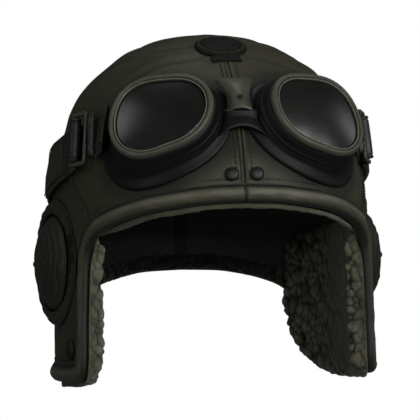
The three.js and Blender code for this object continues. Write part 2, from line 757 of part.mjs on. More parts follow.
// Spot of the leather behind the rim's frame, at an angle and a radius
function rimSeat(frame, angle, radius) {
  const spot = onRim(frame, angle, radius, 0).sub(frame.origin);
  return spotBehind(frame, spot.dot(frame.across), spot.dot(frame.up), GAP, rimSpot.turn, GOGGLE_RISE);
}

function flangeReach(angle) {
  return FLANGE_REACH - FLANGE_MORE.below * Math.sin(angle) + FLANGE_MORE.outside * Math.cos(angle);
}

function onRim(frame, angle, radius, out) {
  return inFrame(frame, Math.cos(angle) * radius, Math.sin(angle) * radius, out);
}

function addGoggles() {
  const frame = rimFrame();
  const angles = range(RIM_SEGMENTS, (i) => (i / RIM_SEGMENTS) * Math.PI * 2);
  const rim = angles.map((angle) => RIM_PROFILE.map(({ reach, rise }) => (
    onRim(frame, angle, rimRadius(angle) - reach * RIM_WIDTH, GAP + rise * RIM_DEPTH))));
  addPair('goggle_rim', bodyOfLoops(rim, 'loop'), 'rim');

  const lensRing = (share, out) => angles.map((angle) => (
    onRim(frame, angle, share * (rimRadius(angle) - RIM_WIDTH - GAP), out)));
  const bulge = (share, thick) => lensRing(share, LENS_SEAT + thick + LENS_DOME * (1 - share * share));
  const lens = [
    ...LENS_RINGS.back.map((share) => bulge(share, 0)),
    ...LENS_RINGS.front.map((share) => bulge(share, LENS_THICK)),
  ];
  addPair('goggle_lens', bodyOfLoops(lens, 'pole'), 'glass');

  const cup = angles.map((angle) => CUP_PROFILE.map(({ reach, wall, lip, rise }) => {
    const radius = rimRadius(angle) + reach * flangeReach(angle) - wall * CUP_WALL;
    const seat = rimSeat(frame, angle, radius).point.sub(frame.origin).dot(frame.normal);
    return onRim(frame, angle, radius, mix(seat + lip * FLANGE_THICK, 0, rise));
  }));
  addPair('goggle_cup', bodyOfLoops(cup, 'loop'), 'rubber');
}

// Plate across the nose: each row is a bowed strip at its own height and stand-off.
function noseGeometry(rows, sweep, thick) {
  const steps = 6;
  const loops = rows.map(({ above, half, stand }) => {
    const front = shellByHeight(0, GOGGLE_RISE + above * RIM_RADIUS, stand * BRIDGE_STAND);
    const point = (share, depth) => {
      const across = mix(-1, 1, share);
      return new THREE.Vector3(
        across * half * NOSE_SPACE,
        front.y + sweep * across * across + depth,
        front.z,
      );
    };
    const face = range(steps + 1, (i) => point(i / steps, 0));
    const back = range(steps + 1, (i) => point(1 - i / steps, thick));
    return [...face, ...back];
  });
  return bodyOfLoops(loops, 'ladder');
}

function addBridge() {
  addPiece('goggle_bridge', noseGeometry(BRIDGE_ROWS, BRIDGE_SWEEP, BRIDGE_THICK), 'rim');
  addPiece('goggle_nose_band', noseGeometry(NOSE_ROWS, NOSE_SWEEP, NOSE_THICK), 'rubber');
  const { above, radius, height } = BRIDGE_RIVET;
  const rise = GOGGLE_RISE + above * RIM_RADIUS;
  const rivet = addPiece('bridge_rivet', domeGeometry(radius, height, SCREW_SIDES), 'steel');
  const frame = frameAt(shellByHeight(0, rise, BRIDGE_STAND), seatOnShell(0, rise).normal);
  placeOn(rivet, frame, 0, 0, GAP);
}

// Band that lies along the shell: each station gives its turn, height, stand-off and thickness.
function bandGeometry(stations, width) {
  const loops = stations.map(({ turn, z, stand, thick }) => {
    const at = (across, off) => shellByHeight(turn, z + across * width, off);
    return [
      ...[-0.5, 0, 0.5].map((across) => at(across, stand)),
      ...[0.5, 0, -0.5].map((across) => at(across, stand + thick)),
    ];
  });
  return bodyOfLoops(loops, 'ladder');
}

// Turn where the tab starts on the flange of the cup
const tabStart = Math.max(...[-0.4, 0, 0.4].map((angle) => {
  const radius = rimRadius(angle) + TAB_ON_FLANGE * flangeReach(angle);
  return rimSeat(rimFrame(), angle, radius).turn;
}));

// Turn reached after a length round the leather at one height
function turnAfter(turn, z, length) {
  const steps = 24;
  return range(steps, () => length / steps)
    .reduce((reached, step) => reached + step / slopes(reached, z, 0).round.length(), turn);
}

const buckleTurn = turnAfter(tabStart, buckleRise, TAB_LENGTH + BUCKLE_WIDTH / 2);
const sleeveTurn = turnAfter(tabStart, buckleRise, SLEEVE_FROM_CUP);
const buckleSeat = seatOnShell(buckleTurn, buckleRise);

// Turns in degrees where the band is clear of a place across the buckle, over the band's width
function turnsBeside(across) {
  return [-0.5, 0, 0.5].map((share) => {
    const up = share * STRAP_WIDTH;
    return degreesOf(spotBehind(buckleSeat, across, up, 0, buckleTurn, buckleRise + up).turn);
  });
}

function addStrap() {
  const count = 32;
  const start = Math.max(...turnsBeside(BUCKLE_WIDTH / 2 + 2 * GAP));
  const stations = range(count + 1, (i) => {
    const degrees = mix(start, 360 - start, i / count);
    const { to, gone } = STRAP_DOUBLE;
    const doubled = ease((gone - Math.min(degrees, 360 - degrees)) / (gone - to));
    return {
      turn: radians(degrees),
      z: strapHeight(degrees),
      stand: STRAP_STAND,
      thick: STRAP_THICK * (1 + doubled),
    };
  });
  addPiece('goggle_strap', bandGeometry(stations, STRAP_WIDTH), 'strap');
}

function tabStations() {
  const steps = 5;
  const from = degreesOf(tabStart);
  const to = Math.min(...turnsBeside(-BUCKLE_WIDTH / 2 - 2 * GAP));
  return range(steps + 1, (i) => {
    const share = i / steps;
    return {
      turn: radians(mix(from, to, share)),
      z: GOGGLE_RISE - mix(TAB_FALL.cup, TAB_FALL.buckle, share),
      stand: mix(TAB_STAND.cup, TAB_STAND.buckle, share),
      thick: TAB_THICK,
    };
  });
}

function addBuckles() {
  const tab = tabStations();
  addPair('strap_tab', bandGeometry(tab, STRAP_WIDTH - TAB_NARROWER), 'strap');

  const halfWidth = BUCKLE_WIDTH / 2;
  const inner = STRAP_WIDTH / 2 + BUCKLE_PLAY;
  const halfLength = inner + BUCKLE_BAR;
  // U shape, open towards the back of the head, where the roller closes it
  const outline = new THREE.Shape([
    new THREE.Vector2(-halfWidth, -halfLength),
    new THREE.Vector2(halfWidth, -halfLength),
    new THREE.Vector2(halfWidth, -inner),
    new THREE.Vector2(-halfWidth + BUCKLE_BAR, -inner),
    new THREE.Vector2(-halfWidth + BUCKLE_BAR, inner),
    new THREE.Vector2(halfWidth, inner),
    new THREE.Vector2(halfWidth, halfLength),
    new THREE.Vector2(-halfWidth, halfLength),
  ]);
  const frameGeometry = closedGeometry(
    new THREE.ExtrudeGeometry(outline, { depth: BUCKLE_THICK, bevelEnabled: false }),
  );
  const rollerLength = 2 * inner - 2 * GAP;
  const rollerGeometry = closedGeometry(
    new THREE.CylinderGeometry(ROLLER_RADIUS, ROLLER_RADIUS, rollerLength, 16),
  );
  const sleeveOutline = new THREE.Shape();
  sleeveOutline.moveTo(-SLEEVE_WIDTH / 2, 0);
  sleeveOutline.lineTo(SLEEVE_WIDTH / 2, 0);
  sleeveOutline.absellipse(0, 0, SLEEVE_WIDTH / 2, SLEEVE_BULGE, 0, Math.PI, false, 0);
  const sleeveGeometry = closedGeometry(
    new THREE.ExtrudeGeometry(sleeveOutline, { depth: STRAP_WIDTH, bevelEnabled: false, curveSegments: 8 })
      .translate(0, 0, -STRAP_WIDTH / 2)
      .rotateX(Math.PI / 2),
  );
  const share = (sleeveTurn - tab[0].turn) / (tab[tab.length - 1].turn - tab[0].turn);
  const tabTop = mix(TAB_STAND.cup, TAB_STAND.buckle, share) + TAB_THICK;
  const sleeveZ = GOGGLE_RISE - mix(TAB_FALL.cup, TAB_FALL.buckle, share);
  sides.forEach(({ name, side }) => {
    const seat = seatOnShell(buckleTurn * side, buckleRise);
    const bow = addPiece(`buckle_frame_${name}`, side > 0 ? frameGeometry : mirrored(frameGeometry), 'steel');
    placeOn(bow, seat, 0, 0, BUCKLE_STAND);
    const roller = addPiece(`buckle_roller_${name}`, rollerGeometry, 'steel');
    const across = side * (halfWidth - ROLLER_RADIUS - GAP);
    placeOn(roller, seat, across, 0, BUCKLE_STAND + BUCKLE_THICK / 2);
    const sleeve = addPiece(`strap_sleeve_${name}`, sleeveGeometry, 'steel');
    placeOn(sleeve, seatOnShell(sleeveTurn * side, sleeveZ), 0, 0, tabTop + 2 * GAP);
  });
}

addLeather();
addPiece('edge_binding', bindingGeometry(), 'binding');
addFleece();
addEarCups();
addStuds();
addPatch();
addGoggles();
addBridge();
addStrap();
addBuckles();

export default helmet;
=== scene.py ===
"""Looks of a leather flying helmet: fleece-lined ear flaps, padded ear cups and goggles on a buckled strap.

Lengths below are millimetres and every mesh is made in metres. The face opening looks towards -Y.
The leather's surface is one formula of a turn round the head and a height, and all that lies on it uses it.
"""

import bmesh
import bpy
import numpy as np
from mathutils import Matrix


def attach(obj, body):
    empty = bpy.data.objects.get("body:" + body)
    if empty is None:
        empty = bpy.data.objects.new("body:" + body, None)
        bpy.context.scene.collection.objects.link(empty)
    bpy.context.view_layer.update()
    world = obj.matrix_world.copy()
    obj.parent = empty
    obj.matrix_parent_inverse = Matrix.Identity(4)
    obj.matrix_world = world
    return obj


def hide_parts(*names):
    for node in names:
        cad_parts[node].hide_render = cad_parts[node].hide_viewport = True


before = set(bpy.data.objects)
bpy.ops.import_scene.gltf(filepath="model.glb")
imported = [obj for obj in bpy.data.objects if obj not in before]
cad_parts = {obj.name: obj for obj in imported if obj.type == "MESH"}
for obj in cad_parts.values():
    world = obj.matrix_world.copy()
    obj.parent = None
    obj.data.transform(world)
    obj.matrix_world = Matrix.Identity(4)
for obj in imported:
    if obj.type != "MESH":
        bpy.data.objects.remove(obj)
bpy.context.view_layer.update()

MM = 0.001
SIDES = {"left": 1, "right": -1}

# Helmet's leather
HALF_WIDTH, FRONT_DEPTH, BACK_DEPTH = 94.8, 130.0, 97.0
CROWN_HEIGHT, FLAP_DROP = 113.5, 97.0
FLAP_SPLAY, NAPE_FLARE = -0.4, 9.7
LEATHER, GAP = 2.5, 0.35
SECTION_SQUARE = (2.25, 2.1)
CROWN_SQUARE = {"side": 2.2, "front": 2.05, "back": 2.2}
# Lower edge from the brow's middle to the nape's middle: degrees round, share of FLAP_DROP below the brow
EDGE = np.array([
    (0, 0), (9.5, 0.005), (19, 0.02), (31, 0.043), (41.3, 0.078), (50.6, 0.122), (55.4, 0.165),
    (58.6, 0.24), (60.4, 0.43), (61.4, 0.61), (62.1, 0.79), (62.5, 0.9), (63.9, 0.965), (67.4, 0.99),
    (72, 0.995), (86, 0.985), (100, 0.968), (110, 0.935), (118, 0.875), (123.9, 0.808), (128, 0.711),
    (130.3, 0.62), (132.2, 0.52), (135, 0.435), (140, 0.38), (146, 0.34), (157, 0.288), (168, 0.256),
    (180, 0.246),
])
# Rows of EDGE where the brow ends, the flap's front and rear edges start or end, and the nape starts
BROW_END, FLAP_FRONT, FLAP_REAR, NAPE = 6, 7, 22, 24
# Rows of EDGE between which the binding is narrow
NARROW_FROM, NARROW_TO = 5, 12

BINDING_WIDTH, BINDING_NARROW = 8.0, 5.3
FLEECE_SETBACK, FLEECE_PILE, FLEECE_LOCK = 2.1, 6.0, 2.3
FLEECE_TOP = {"front": -0.06, "rear": 0.06, "turn": 131}
TRIM_PILE, TRIM_WIDTH = 3.8, 9.0
PAD_LOW_ROUND, PAD_TOP_ROUND = 4.5, 12.0

STRAP_WIDTH, STRAP_THICK, STRAP_STAND, STRAP_FALL = 25.0, 2.1, 0.5, 6.6
STRAP_LEAN, STRAP_DOUBLED_TO, STRAP_LINE = 5.0, 94.3, 0.42
STRAP_PATH = np.array([(60, 0.99), (70, 0.86), (80, 0.785), (100, 0.64), (135, 0.44), (180, 0.337)])
EAR_TURN, EAR_YAW, EAR_BELOW_STRAP = 83.8, 80.4, 8.0
EAR_RADIUS, EAR_HEIGHT, EAR_RING_WIDTH, CAP_HEIGHT = 36.0, 5.0, 7.6, 12.2
EAR_FLANK, EAR_FLANK_SINK = (2.5, 6.5), 4.2
SCREW_SPREAD, SCREW_RADIUS, SCREW_HEIGHT, SCREW_SUNK = 10.0, 1.8, 1.8, 1.7
RIVET_SPREAD, RIVET_RISE, RIVET_RADIUS, RIVET_HEIGHT = 7.0, 14.0, 4.0, 2.7
SNAP_TURN, SNAP_ABOVE_FOOT, SNAP_RADIUS, SNAP_HEIGHT = 71.0, 18.2, 6.0, 2.8
PATCH_BELOW_TOP, PATCH_ACROSS, PATCH_ALONG, PATCH_THICK = 18.0, 15.3, 16.5, 2.2
TAB_HALF, TAB_LONG, TAB_UP = 9.0, 4.6, 1.6

GOGGLE_SPREAD, GOGGLE_RISE, RIM_STAND, RIM_YAW, RIM_PITCH = 44.0, 47.0, 13.6, 24.0, 20.0
RIM_RADIUS, RIM_WIDTH, RIM_DEPTH = 27.6, 4.0, 3.8
# Waves of the rim's outline: order, cosine and sine share of RIM_RADIUS
RIM_WAVES = ((1, 0.031, 0.051), (2, 0.087, -0.064), (3, -0.028, 0.011), (4, -0.022, 0.0))
LENS_DOME, LENS_SEAT, LENS_THICK = 3.0, 0.8, 1.8
FLANGE_REACH, FLANGE_BELOW, FLANGE_OUTSIDE, FLANGE_THICK, CUP_WALL = 9.0, 2.5, 1.5, 2.4, 5.0
BRIDGE_STAND, BRIDGE_THICK, BRIDGE_SWEEP, NOSE_THICK, NOSE_SWEEP = 11.0, 2.4, 4.5, 3.0, 1.5
# Rows of the bridge and the nose band: height over the rims' middle, half width, stand-off
BRIDGE_ROWS = np.array([
    (0.87, 0.68, 0.62), (0.69, 0.52, 0.9), (0.47, 0.41, 1), (0.29, 0.44, 1), (0.145, 0.62, 0.98),
])
NOSE_ROWS = np.array([(0.125, 0.6, 0.86), (-0.035, 0.53, 0.74), (-0.145, 0.56, 0.74), (-0.235, 0.6, 0.68)])
BUCKLE_WIDTH, BUCKLE_BAR, BUCKLE_PLAY, BUCKLE_THICK, BUCKLE_STAND = 17.0, 2.6, 0.65, 2.5, 2.4
ROLLER_RADIUS = 2.7
TAB_THICK, TAB_LENGTH, TAB_ON_FLANGE = 2.2, 12.2, 0.62
TAB_STAND, TAB_FALL = (4.3, 1.7), (1.4, 5.4)
SLEEVE_WIDTH, SLEEVE_BULGE, SLEEVE_FROM_CUP = 5.0, 2.8, 8.7


# Numbers and surfaces

def mix(a, b, t):
    return a + (b - a) * t


def ease(t):
    t = np.clip(t, 0.0, 1.0)
    return t * t * (3 - 2 * t)


def bell(x, width):
    """One at zero, falling to nothing a few widths away."""
    return np.exp(-((x / width) ** 2))


def signed_power(x, p):
    return np.sign(x) * np.abs(x) ** p


def off_front(degrees):
    return np.minimum(degrees, 360 - degrees)


def around(count):
    """Angles of one whole turn, as a row."""
    return np.linspace(0, 2 * np.pi, count, endpoint=False)[None]


def polar(angle, radius):
    return np.cos(angle) * radius, np.sin(angle) * radius


def rounded(t):
    """Quarter of a circle from 0 to 1: how full a pad is at a share t in from its end."""
    return np.sqrt(np.clip(1 - (1 - np.clip(t, 0, 1)) ** 2, 0, 1))


def through(knots, values, at):
    """Cubic curve through rows of numbers that never swings past them, for a whole array at once."""
    knots, values = np.asarray(knots, float), np.asarray(values, float)
    at = np.asarray(at, float)
    step = np.diff(knots)
    slope = np.diff(values) / step
    inner = np.zeros(len(knots))
    before, after = 2 * step[1:] + step[:-1], step[1:] + 2 * step[:-1]
    same = slope[:-1] * slope[1:] > 0
    low = np.where(same, slope[:-1], 1.0)
    high = np.where(same, slope[1:], 1.0)
    inner[1:-1] = np.where(same, (before + after) / (before / low + after / high), 0.0)
    inner[0], inner[-1] = slope[0], slope[-1]
    i = np.clip(np.searchsorted(knots, at, side="right") - 1, 0, len(step) - 1)
    t = (at - knots[i]) / step[i]
    bend = step[i] * (inner[i] * t * (1 - t) ** 2 - inner[i + 1] * t * t * (1 - t))
    return mix(values[i], values[i + 1], t * t * (3 - 2 * t)) + bend


def waves(a, b, seed, count=7, low=0.02, high=0.12):
    """Smooth irregular field between about -1 and 1: a sum of sine waves with seeded directions."""
    rng = np.random.default_rng(seed)
    total = np.zeros(np.broadcast(a, b).shape)
    for _ in range(count):
        angle, phase = rng.uniform(0, 2 * np.pi, 2)
        pitch = rng.uniform(low, high) * 2 * np.pi
        total = total + np.sin(pitch * (a * np.cos(angle) + b * np.sin(angle)) + phase)
    return total / np.sqrt(count)


def shell_section(turn, lift, z, shrink, off):
    """Rounded rectangle round the head: x follows sin(turn) and y cos(turn), each to the power 2 over
    the squareness, times the half width and the front or back depth at that height."""
    facing = np.cos(turn)
    square = mix(SECTION_SQUARE[0], SECTION_SQUARE[1], ease(lift))
    below = np.maximum(0.0, -z) / FLAP_DROP
    half = HALF_WIDTH + off + FLAP_SPLAY * below
    depth = np.where(facing > 0, FRONT_DEPTH + off, BACK_DEPTH + off + NAPE_FLARE * below)
    x = half * signed_power(np.sin(turn), 2 / square) * shrink
    y = -depth * signed_power(facing, 2 / square) * shrink
    return np.stack(np.broadcast_arrays(x, y, z), -1)


def crown_square(turn):
    """Squareness of the crown's upright section: its own at the sides, in front and behind."""
    facing = np.cos(turn)
    end = np.where(facing > 0, CROWN_SQUARE["front"], CROWN_SQUARE["back"])
    return mix(CROWN_SQUARE["side"], end, facing * facing)


def shell_by_lift(turn, lift, off=0.0):
    """Leather at a lift: 0 at the brow to 1 on top along a quarter of a superellipse, and below the
    brow a share of the flap's drop down a straight wall."""
    turn, lift, off = np.broadcast_arrays(np.asarray(turn, float), lift, off)
    square = crown_square(turn)
    angle = np.clip(lift, 0, 1) * np.pi / 2
    up = lift > 0
    z = np.where(up, (CROWN_HEIGHT + off) * np.sin(angle) ** (2 / square), lift * FLAP_DROP)
    shrink = np.where(up, np.maximum(np.cos(angle), 0) ** (2 / square), 1.0)
    shrink = np.where(lift >= 1, 0.0, shrink)
    return shell_section(turn, np.maximum(lift, 0), z, shrink, off)


def shell_by_height(turn, z, off=0.0):
    """The same leather at a height instead of a lift."""
    turn, z, off = np.broadcast_arrays(np.asarray(turn, float), z, off)
    square = crown_square(turn)
    share = np.clip(z / (CROWN_HEIGHT + off), 0, 1) ** square
    lift = np.arcsin(np.sqrt(share)) / (np.pi / 2)
    return shell_section(turn, lift, z, (1 - share) ** (1 / square), off)


def slopes(turn, z, off=0.0, h=1e-3):
    """Steps along the leather for one radian of turn and for one millimetre of height."""
    round_ = (shell_by_height(turn + h, z, off) - shell_by_height(turn - h, z, off)) / (2 * h)
    rise = (shell_by_height(turn, z + h, off) - shell_by_height(turn, z - h, off)) / (2 * h)
    return round_, rise


def unit(v):
    return v / np.maximum(np.linalg.norm(v, axis=-1, keepdims=True), 1e-12)


class Frame:
    """A flat frame of reference: origin, across, up and outward normal."""

    def __init__(self, origin, normal):
        self.origin, self.normal = np.asarray(origin, float), unit(np.asarray(normal, float))
        self.across = unit(np.array([-self.normal[1], self.normal[0], 0.0]))
        self.up = np.cross(self.normal, self.across)

    def at(self, across, up, out=0.0):
        across, up, out = (np.asarray(v, float)[..., None] for v in (across, up, out))
        return self.origin + across * self.across + up * self.up + out * self.normal


def seat_on_shell(turn, z, off=0.0):
    round_, rise = slopes(turn, z)
    return Frame(shell_by_height(turn, z, off), np.cross(round_, rise))


def frame_turned(origin, yaw, pitch):
    yaw, pitch = np.radians(yaw), np.radians(pitch)
    return Frame(origin, (np.sin(yaw) * np.cos(pitch), -np.cos(yaw) * np.cos(pitch), np.sin(pitch)))


def spot_behind(place, across, up, off, turn, z):
    """Turn and height of the leather that lies straight behind places of a frame, by Newton's steps."""
    wanted = place.at(across, up)
    turn = np.broadcast_to(turn, wanted.shape[:-1]).astype(float)
    z = np.broadcast_to(z, wanted.shape[:-1]).astype(float)
    for _ in range(30):
        miss = wanted - shell_by_height(turn, z, off)
        round_, rise = slopes(turn, z, off)
        a, b, c, d = round_ @ place.across, rise @ place.across, round_ @ place.up, rise @ place.up
        det = a * d - b * c
        miss_a, miss_u = miss @ place.across, miss @ place.up
        turn = turn + np.clip((miss_a * d - miss_u * b) / det, -0.2, 0.2)
        z = np.minimum(z + np.clip((miss_u * a - miss_a * c) / det, -12, 12), CROWN_HEIGHT - 1)
    return turn, z


def behind(place, across, up, off, turn, z):
    return shell_by_height(*spot_behind(place, across, up, off, turn, z), off)


def beside_middle(facing, across, z):
    """Turn and height of places beside the middle seam, where facing is 0 in front and pi behind."""
    place = Frame((0, 0, 0), (0, -np.cos(facing), 0))
    return spot_behind(place, across * np.cos(facing), z, 0.0, facing + 0.01 * np.sign(across), z)


EDGE_POINTS = shell_by_height(np.radians(EDGE[:, 0]), -EDGE[:, 1] * FLAP_DROP)
EDGE_SHARES = np.concatenate([[0], np.cumsum(np.linalg.norm(np.diff(EDGE_POINTS, axis=0), axis=1))])
EDGE_LENGTH = EDGE_SHARES[-1]
EDGE_SHARES = EDGE_SHARES / EDGE_LENGTH


def edge_at(u):
    """Lower edge: u is 0 at the brow, 1 at the nape, and negative on the wearer's right."""
    u = np.asarray(u, float)
    u = np.where(u > 1, u - 2, u)
    share = np.abs(u)
    turn = np.radians(through(EDGE_SHARES, EDGE[:, 0], share)) * np.where(u < 0, -1, 1)
    return turn, -through(EDGE_SHARES, EDGE[:, 1], share) * FLAP_DROP


def edge_stations(count, crowding):
    """Places once round the edge, closer together at the middle of the brow and of the nape."""
    u = -1 + 2 * (np.arange(count) + 1) / count
    return u - crowding * np.sin(2 * np.pi * u) / (2 * np.pi)


def binding_reach(u):
    """Width of the binding: full along brow, nape and foot, and narrower down the flaps' front edges."""
    share = np.abs(np.where(np.asarray(u) > 1, u - 2, u))
    start, end = EDGE_SHARES[NARROW_FROM], EDGE_SHARES[NARROW_TO]
    front = ease((share - start) / 0.03) * ease((end - share) / 0.03)
    return mix(BINDING_WIDTH, BINDING_NARROW, front)


def spot_near_edge(u, inset):
    """Turn and height of the leather a given way up from its lower edge, square to the edge."""
    u, inset = np.broadcast_arrays(np.asarray(u, float), inset)
    turn, z = edge_at(u)
    h = 0.004
    ahead = shell_by_height(*edge_at(np.minimum(u + h, 2 - 1e-9)))
    along = ahead - shell_by_height(*edge_at(u - h))
    round_, rise = slopes(turn, z)
    inward = unit(np.cross(unit(np.cross(round_, rise)), along))
    rr, rz, zz = (np.sum(p * q, -1) for p, q in ((round_, round_), (round_, rise), (rise, rise)))
    by_round, by_rise = np.sum(inward * round_, -1), np.sum(inward * rise, -1)
    step = inset / (rr * zz - rz * rz)
    return turn + step * (by_round * zz - by_rise * rz), z + step * (by_rise * rr - by_round * rz)


def near_edge(u, inset, off):
    u, inset, off = np.broadcast_arrays(np.asarray(u, float), inset, off)
    return shell_by_height(*spot_near_edge(u, inset), off)


# Meshes

def finish_mesh(name, points, faces, marks=None):
    """Mesh in metres from points in millimetres: doubles are merged and the faces turned outward."""
    mesh = bpy.data.meshes.new(name)
    mesh.from_pydata((points.reshape(-1, 3) * MM).tolist(), [], faces.tolist())
    for key, values in (marks or {}).items():
        attribute = mesh.attributes.new(key, "FLOAT", "POINT")
        attribute.data.foreach_set("value", np.clip(values, 0, 1).astype(np.float32).ravel())
    work = bmesh.new()
    work.from_mesh(mesh)
    bmesh.ops.remove_doubles(work, verts=work.verts, dist=2e-6)
    bmesh.ops.dissolve_degenerate(work, edges=work.edges, dist=1e-7)
    bmesh.ops.recalc_face_normals(work, faces=work.faces)
    work.to_mesh(mesh)
    work.free()
    mesh.shade_smooth()
    return place_in_scene(name, mesh)


def place_in_scene(name, data):
    made = bpy.data.objects.new(name, data)
    bpy.context.scene.collection.objects.link(made)
    return made


def grid_faces(rows, columns, wrap_rows=False):
    """Quads of a grid of points whose rows are closed loops, joined from last row to first on request."""
    i = np.arange(rows if wrap_rows else rows - 1)
    i, j = (v.ravel() for v in np.meshgrid(i, np.arange(columns), indexing="ij"))
    after_i, after_j = (i + 1) % rows, (j + 1) % columns
    corners = (i * columns + j, i * columns + after_j, after_i * columns + after_j, after_i * columns + j)
    return np.stack(corners, -1)


def loft(name, points, ends="loop", marks=None):
    """Closed body from a grid of closed loops: ends is loop (a ring), pole (each end loop is one point
    wide) or cap (each end loop is closed by a fan of quads across it)."""
    rows, columns = points.shape[:2]
    faces = grid_faces(rows, columns, wrap_rows=ends == "loop")
    if ends == "cap":
        k = np.arange(columns // 2 - 1)
        near = np.stack((k, columns - 1 - k, columns - 2 - k, k + 1), -1)
        faces = np.concatenate((faces, near, near[:, ::-1] + (rows - 1) * columns))
    return finish_mesh(name, points, faces, marks)


def arc_lengths(points):
    """Way covered along a row of points."""
    step = np.linalg.norm(np.diff(points, axis=0), axis=-1)
    return np.concatenate((0 * step[:1], np.cumsum(step, axis=0)))


def grid_normals(points):
    """Direction square to the grid at every point, from the steps to its neighbours."""
    return unit(np.cross(np.gradient(points, axis=1), np.gradient(points, axis=0)))


def mirror(points, side):
    return points * np.array([side, 1.0, 1.0])


def dress(piece, material, slot, *nodes):
    """Gives a finished piece its material, hangs it on the root body and hides the solids it stands for. Its
    slot is not used.
    """
    piece.data.materials.clear()
    piece.data.materials.append(material)
    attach(piece, "root")
    if nodes:
        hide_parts(*nodes)
    return piece


def cells(points, pitch, seed):
    """Ways to the nearest and the second nearest of spots strewn one to each cube, in pitches."""
    places = points / pitch
    first, second = np.full(places.shape[:-1], 9.0), np.full(places.shape[:-1], 9.0)
    keys = np.array([(127.1, 311.7, 74.7), (269.5, 183.3, 246.1), (113.5, 271.9, 124.6)])
    for step in np.stack(np.meshgrid(*[(-1, 0, 1)] * 3), -1).reshape(-1, 3):
        cell = np.floor(places) + step
        jump = np.mod(np.sin(cell @ keys + seed) * 43758.5453, 1.0)
        d = np.linalg.norm(cell + jump - places, axis=-1)
        second = np.minimum(second, np.maximum(first, d))
        first = np.minimum(first, d)
    return first, second


def smooth_ring(rows, count):
    """Closed curve through rows of numbers, cut into a count of steps: a Catmull-Rom curve."""
    rows = np.asarray(rows, float)
    t = np.arange(count) / count * len(rows)
    i = t.astype(int)
    t = (t - i)[:, None]
    p0, p1, p2, p3 = (rows[(i + k) % len(rows)] for k in (-1, 0, 1, 2))
    return 0.5 * (2 * p1 + (p2 - p0) * t + (2 * p0 - 5 * p1 + 4 * p2 - p3) * t**2
                  + (3 * p1 - p0 - 3 * p2 + p3) * t**3)


def distance_to(points, curve):
    """Way from each point to the nearest corner of a finely cut curve, and that corner's number."""
    flat = points.reshape(-1, 3)
    best = np.empty(len(flat))
    which = np.empty(len(flat), int)
    for start in range(0, len(flat), 8000):
        part = slice(start, start + 8000)
        d = np.linalg.norm(flat[part, None] - curve[None], axis=-1)
        which[part], best[part] = d.argmin(1), d.min(1)
    return best.reshape(points.shape[:-1]), which.reshape(points.shape[:-1])


EDGE_CURVE = near_edge(np.linspace(-1, 1, 1200, endpoint=False), 0.0, 0.0)


# Leather shell

# Panel seam in front of each ear, from under the strap to the corner of the brow: degrees round, height
EAR_SEAM = np.array([(67.6, 26), (66.2, 18), (62.5, 9), (58.5, 1), (56.8, -5)])
# Folds of the crown: turn in degrees and height at three places along each, depth and width
FOLDS = (
    ((8, 90), (34, 80), (70, 66), 0.75, 3.4),
    ((12, 99), (52, 92), (100, 84), 0.7, 3.6),
    ((26, 105), (80, 103), (130, 98), 0.5, 4.0),
    ((-9, 88), (-32, 83), (-58, 62), 0.8, 3.2),
    ((-12, 98), (-48, 94), (-92, 80), 0.7, 3.4),
    ((-20, 106), (-75, 104), (-125, 96), 0.5, 4.2),
    ((20, 9), (34, 14), (50, 21), 0.4, 3.6),
    ((-16, 10), (-33, 15), (-52, 22), 0.45, 3.6),
    ((150, 60), (180, 52), (212, 62), 0.5, 5.0),
    ((74, 18), (92, 12), (112, 14), 0.45, 4.0),
    ((-74, 18), (-92, 12), (-112, 14), 0.45, 4.0),
)
# Hem over the binding and its line of stitches: ways up from the edge
HEM, HEM_STITCH = 13.0, 11.4


def smooth_rows(rows, count):
    """Columns of a smooth line through rows of numbers, cut into a count of places."""
    knots = np.arange(len(rows))
    return (through(knots, column, np.linspace(0, knots[-1], count)) for column in np.transpose(rows))


def curve_on_shell(rows):
    """Smooth line over the leather through places given as degrees round and a height."""
    turn, z = smooth_rows(rows, 80)
    return shell_by_height(np.radians(turn), z)


def leather_relief(points, turn):
    """Height of the leather's own relief, and a mask of painted shade in its grooves: a swelling with a slit
    along the middle seam, a thicker hem over the binding, panel seams, shallow folds whose lower side swells
    as their middle sinks, and slow puckers."""
    x, z = points[..., 0], points[..., 2]
    inset, nearest = distance_to(points, EDGE_CURVE)
    inset = inset + BINDING_WIDTH - binding_reach(-1 + 2 * nearest / len(EDGE_CURVE))
    # The mask darkens the middle seam's slit, the hem's stitch line, the leather just above the binding, the
    # ear panels' seams and the folds as painted shade.
    height = 0.45 * bell(x, 5.5) - 0.7 * bell(x, 0.55)
    groove_shadow = bell(x, 0.8)
    height += 0.45 * ease((HEM - inset) / 2.0) - 0.3 * bell(inset - HEM_STITCH, 0.9)
    groove_shadow = np.maximum(groove_shadow, 0.55 * bell(inset - HEM_STITCH, 0.9))
    groove_shadow = np.maximum(groove_shadow, 0.9 * ease((BINDING_WIDTH + 1.6 - inset) / 1.6))
    for side in SIDES.values():
        seam = curve_on_shell(EAR_SEAM * (side, 1))
        away, _ = distance_to(points, seam)
        rough = 1 + 0.5 * np.sin(z * 2.1)
        height += 0.35 * bell(away - 2.4, 1.6) - 0.75 * rough * bell(away, 0.8)
        groove_shadow = np.maximum(groove_shadow, 0.9 * bell(away, 1.0))
    for start, middle, end, depth, width in FOLDS:
        line = curve_on_shell((start, middle, end))
        away, which = distance_to(points, line)
        fade = np.sin(np.pi * np.clip((which + 1) / len(line), 0, 1)) ** 0.7
        lower = z < line[which][..., 2]
        swell = np.where(lower, 0.8, 0.35) * bell(away - 1.9 * width, 1.4 * width)
        height += 1.5 * fade * depth * (swell - bell(away, width))
        groove_shadow = np.maximum(groove_shadow, 0.55 * fade * bell(away, width * 0.7))
    height += 2.3 * bell(z - 76, 22) * ease((z - 52) / 14) * np.sin(turn) ** 2
    way, level = 0.9 * x + 0.5 * points[..., 1], z - 0.6 * points[..., 1] + 0.3 * x
    height += 0.3 * waves(way, level, 4, low=0.008, high=0.03)
    height += 0.1 * waves(way, level, 5, low=0.08, high=0.2) * (0.35 + 0.65 * bell(inset - HEM_STITCH, 6))
    return height, groove_shadow


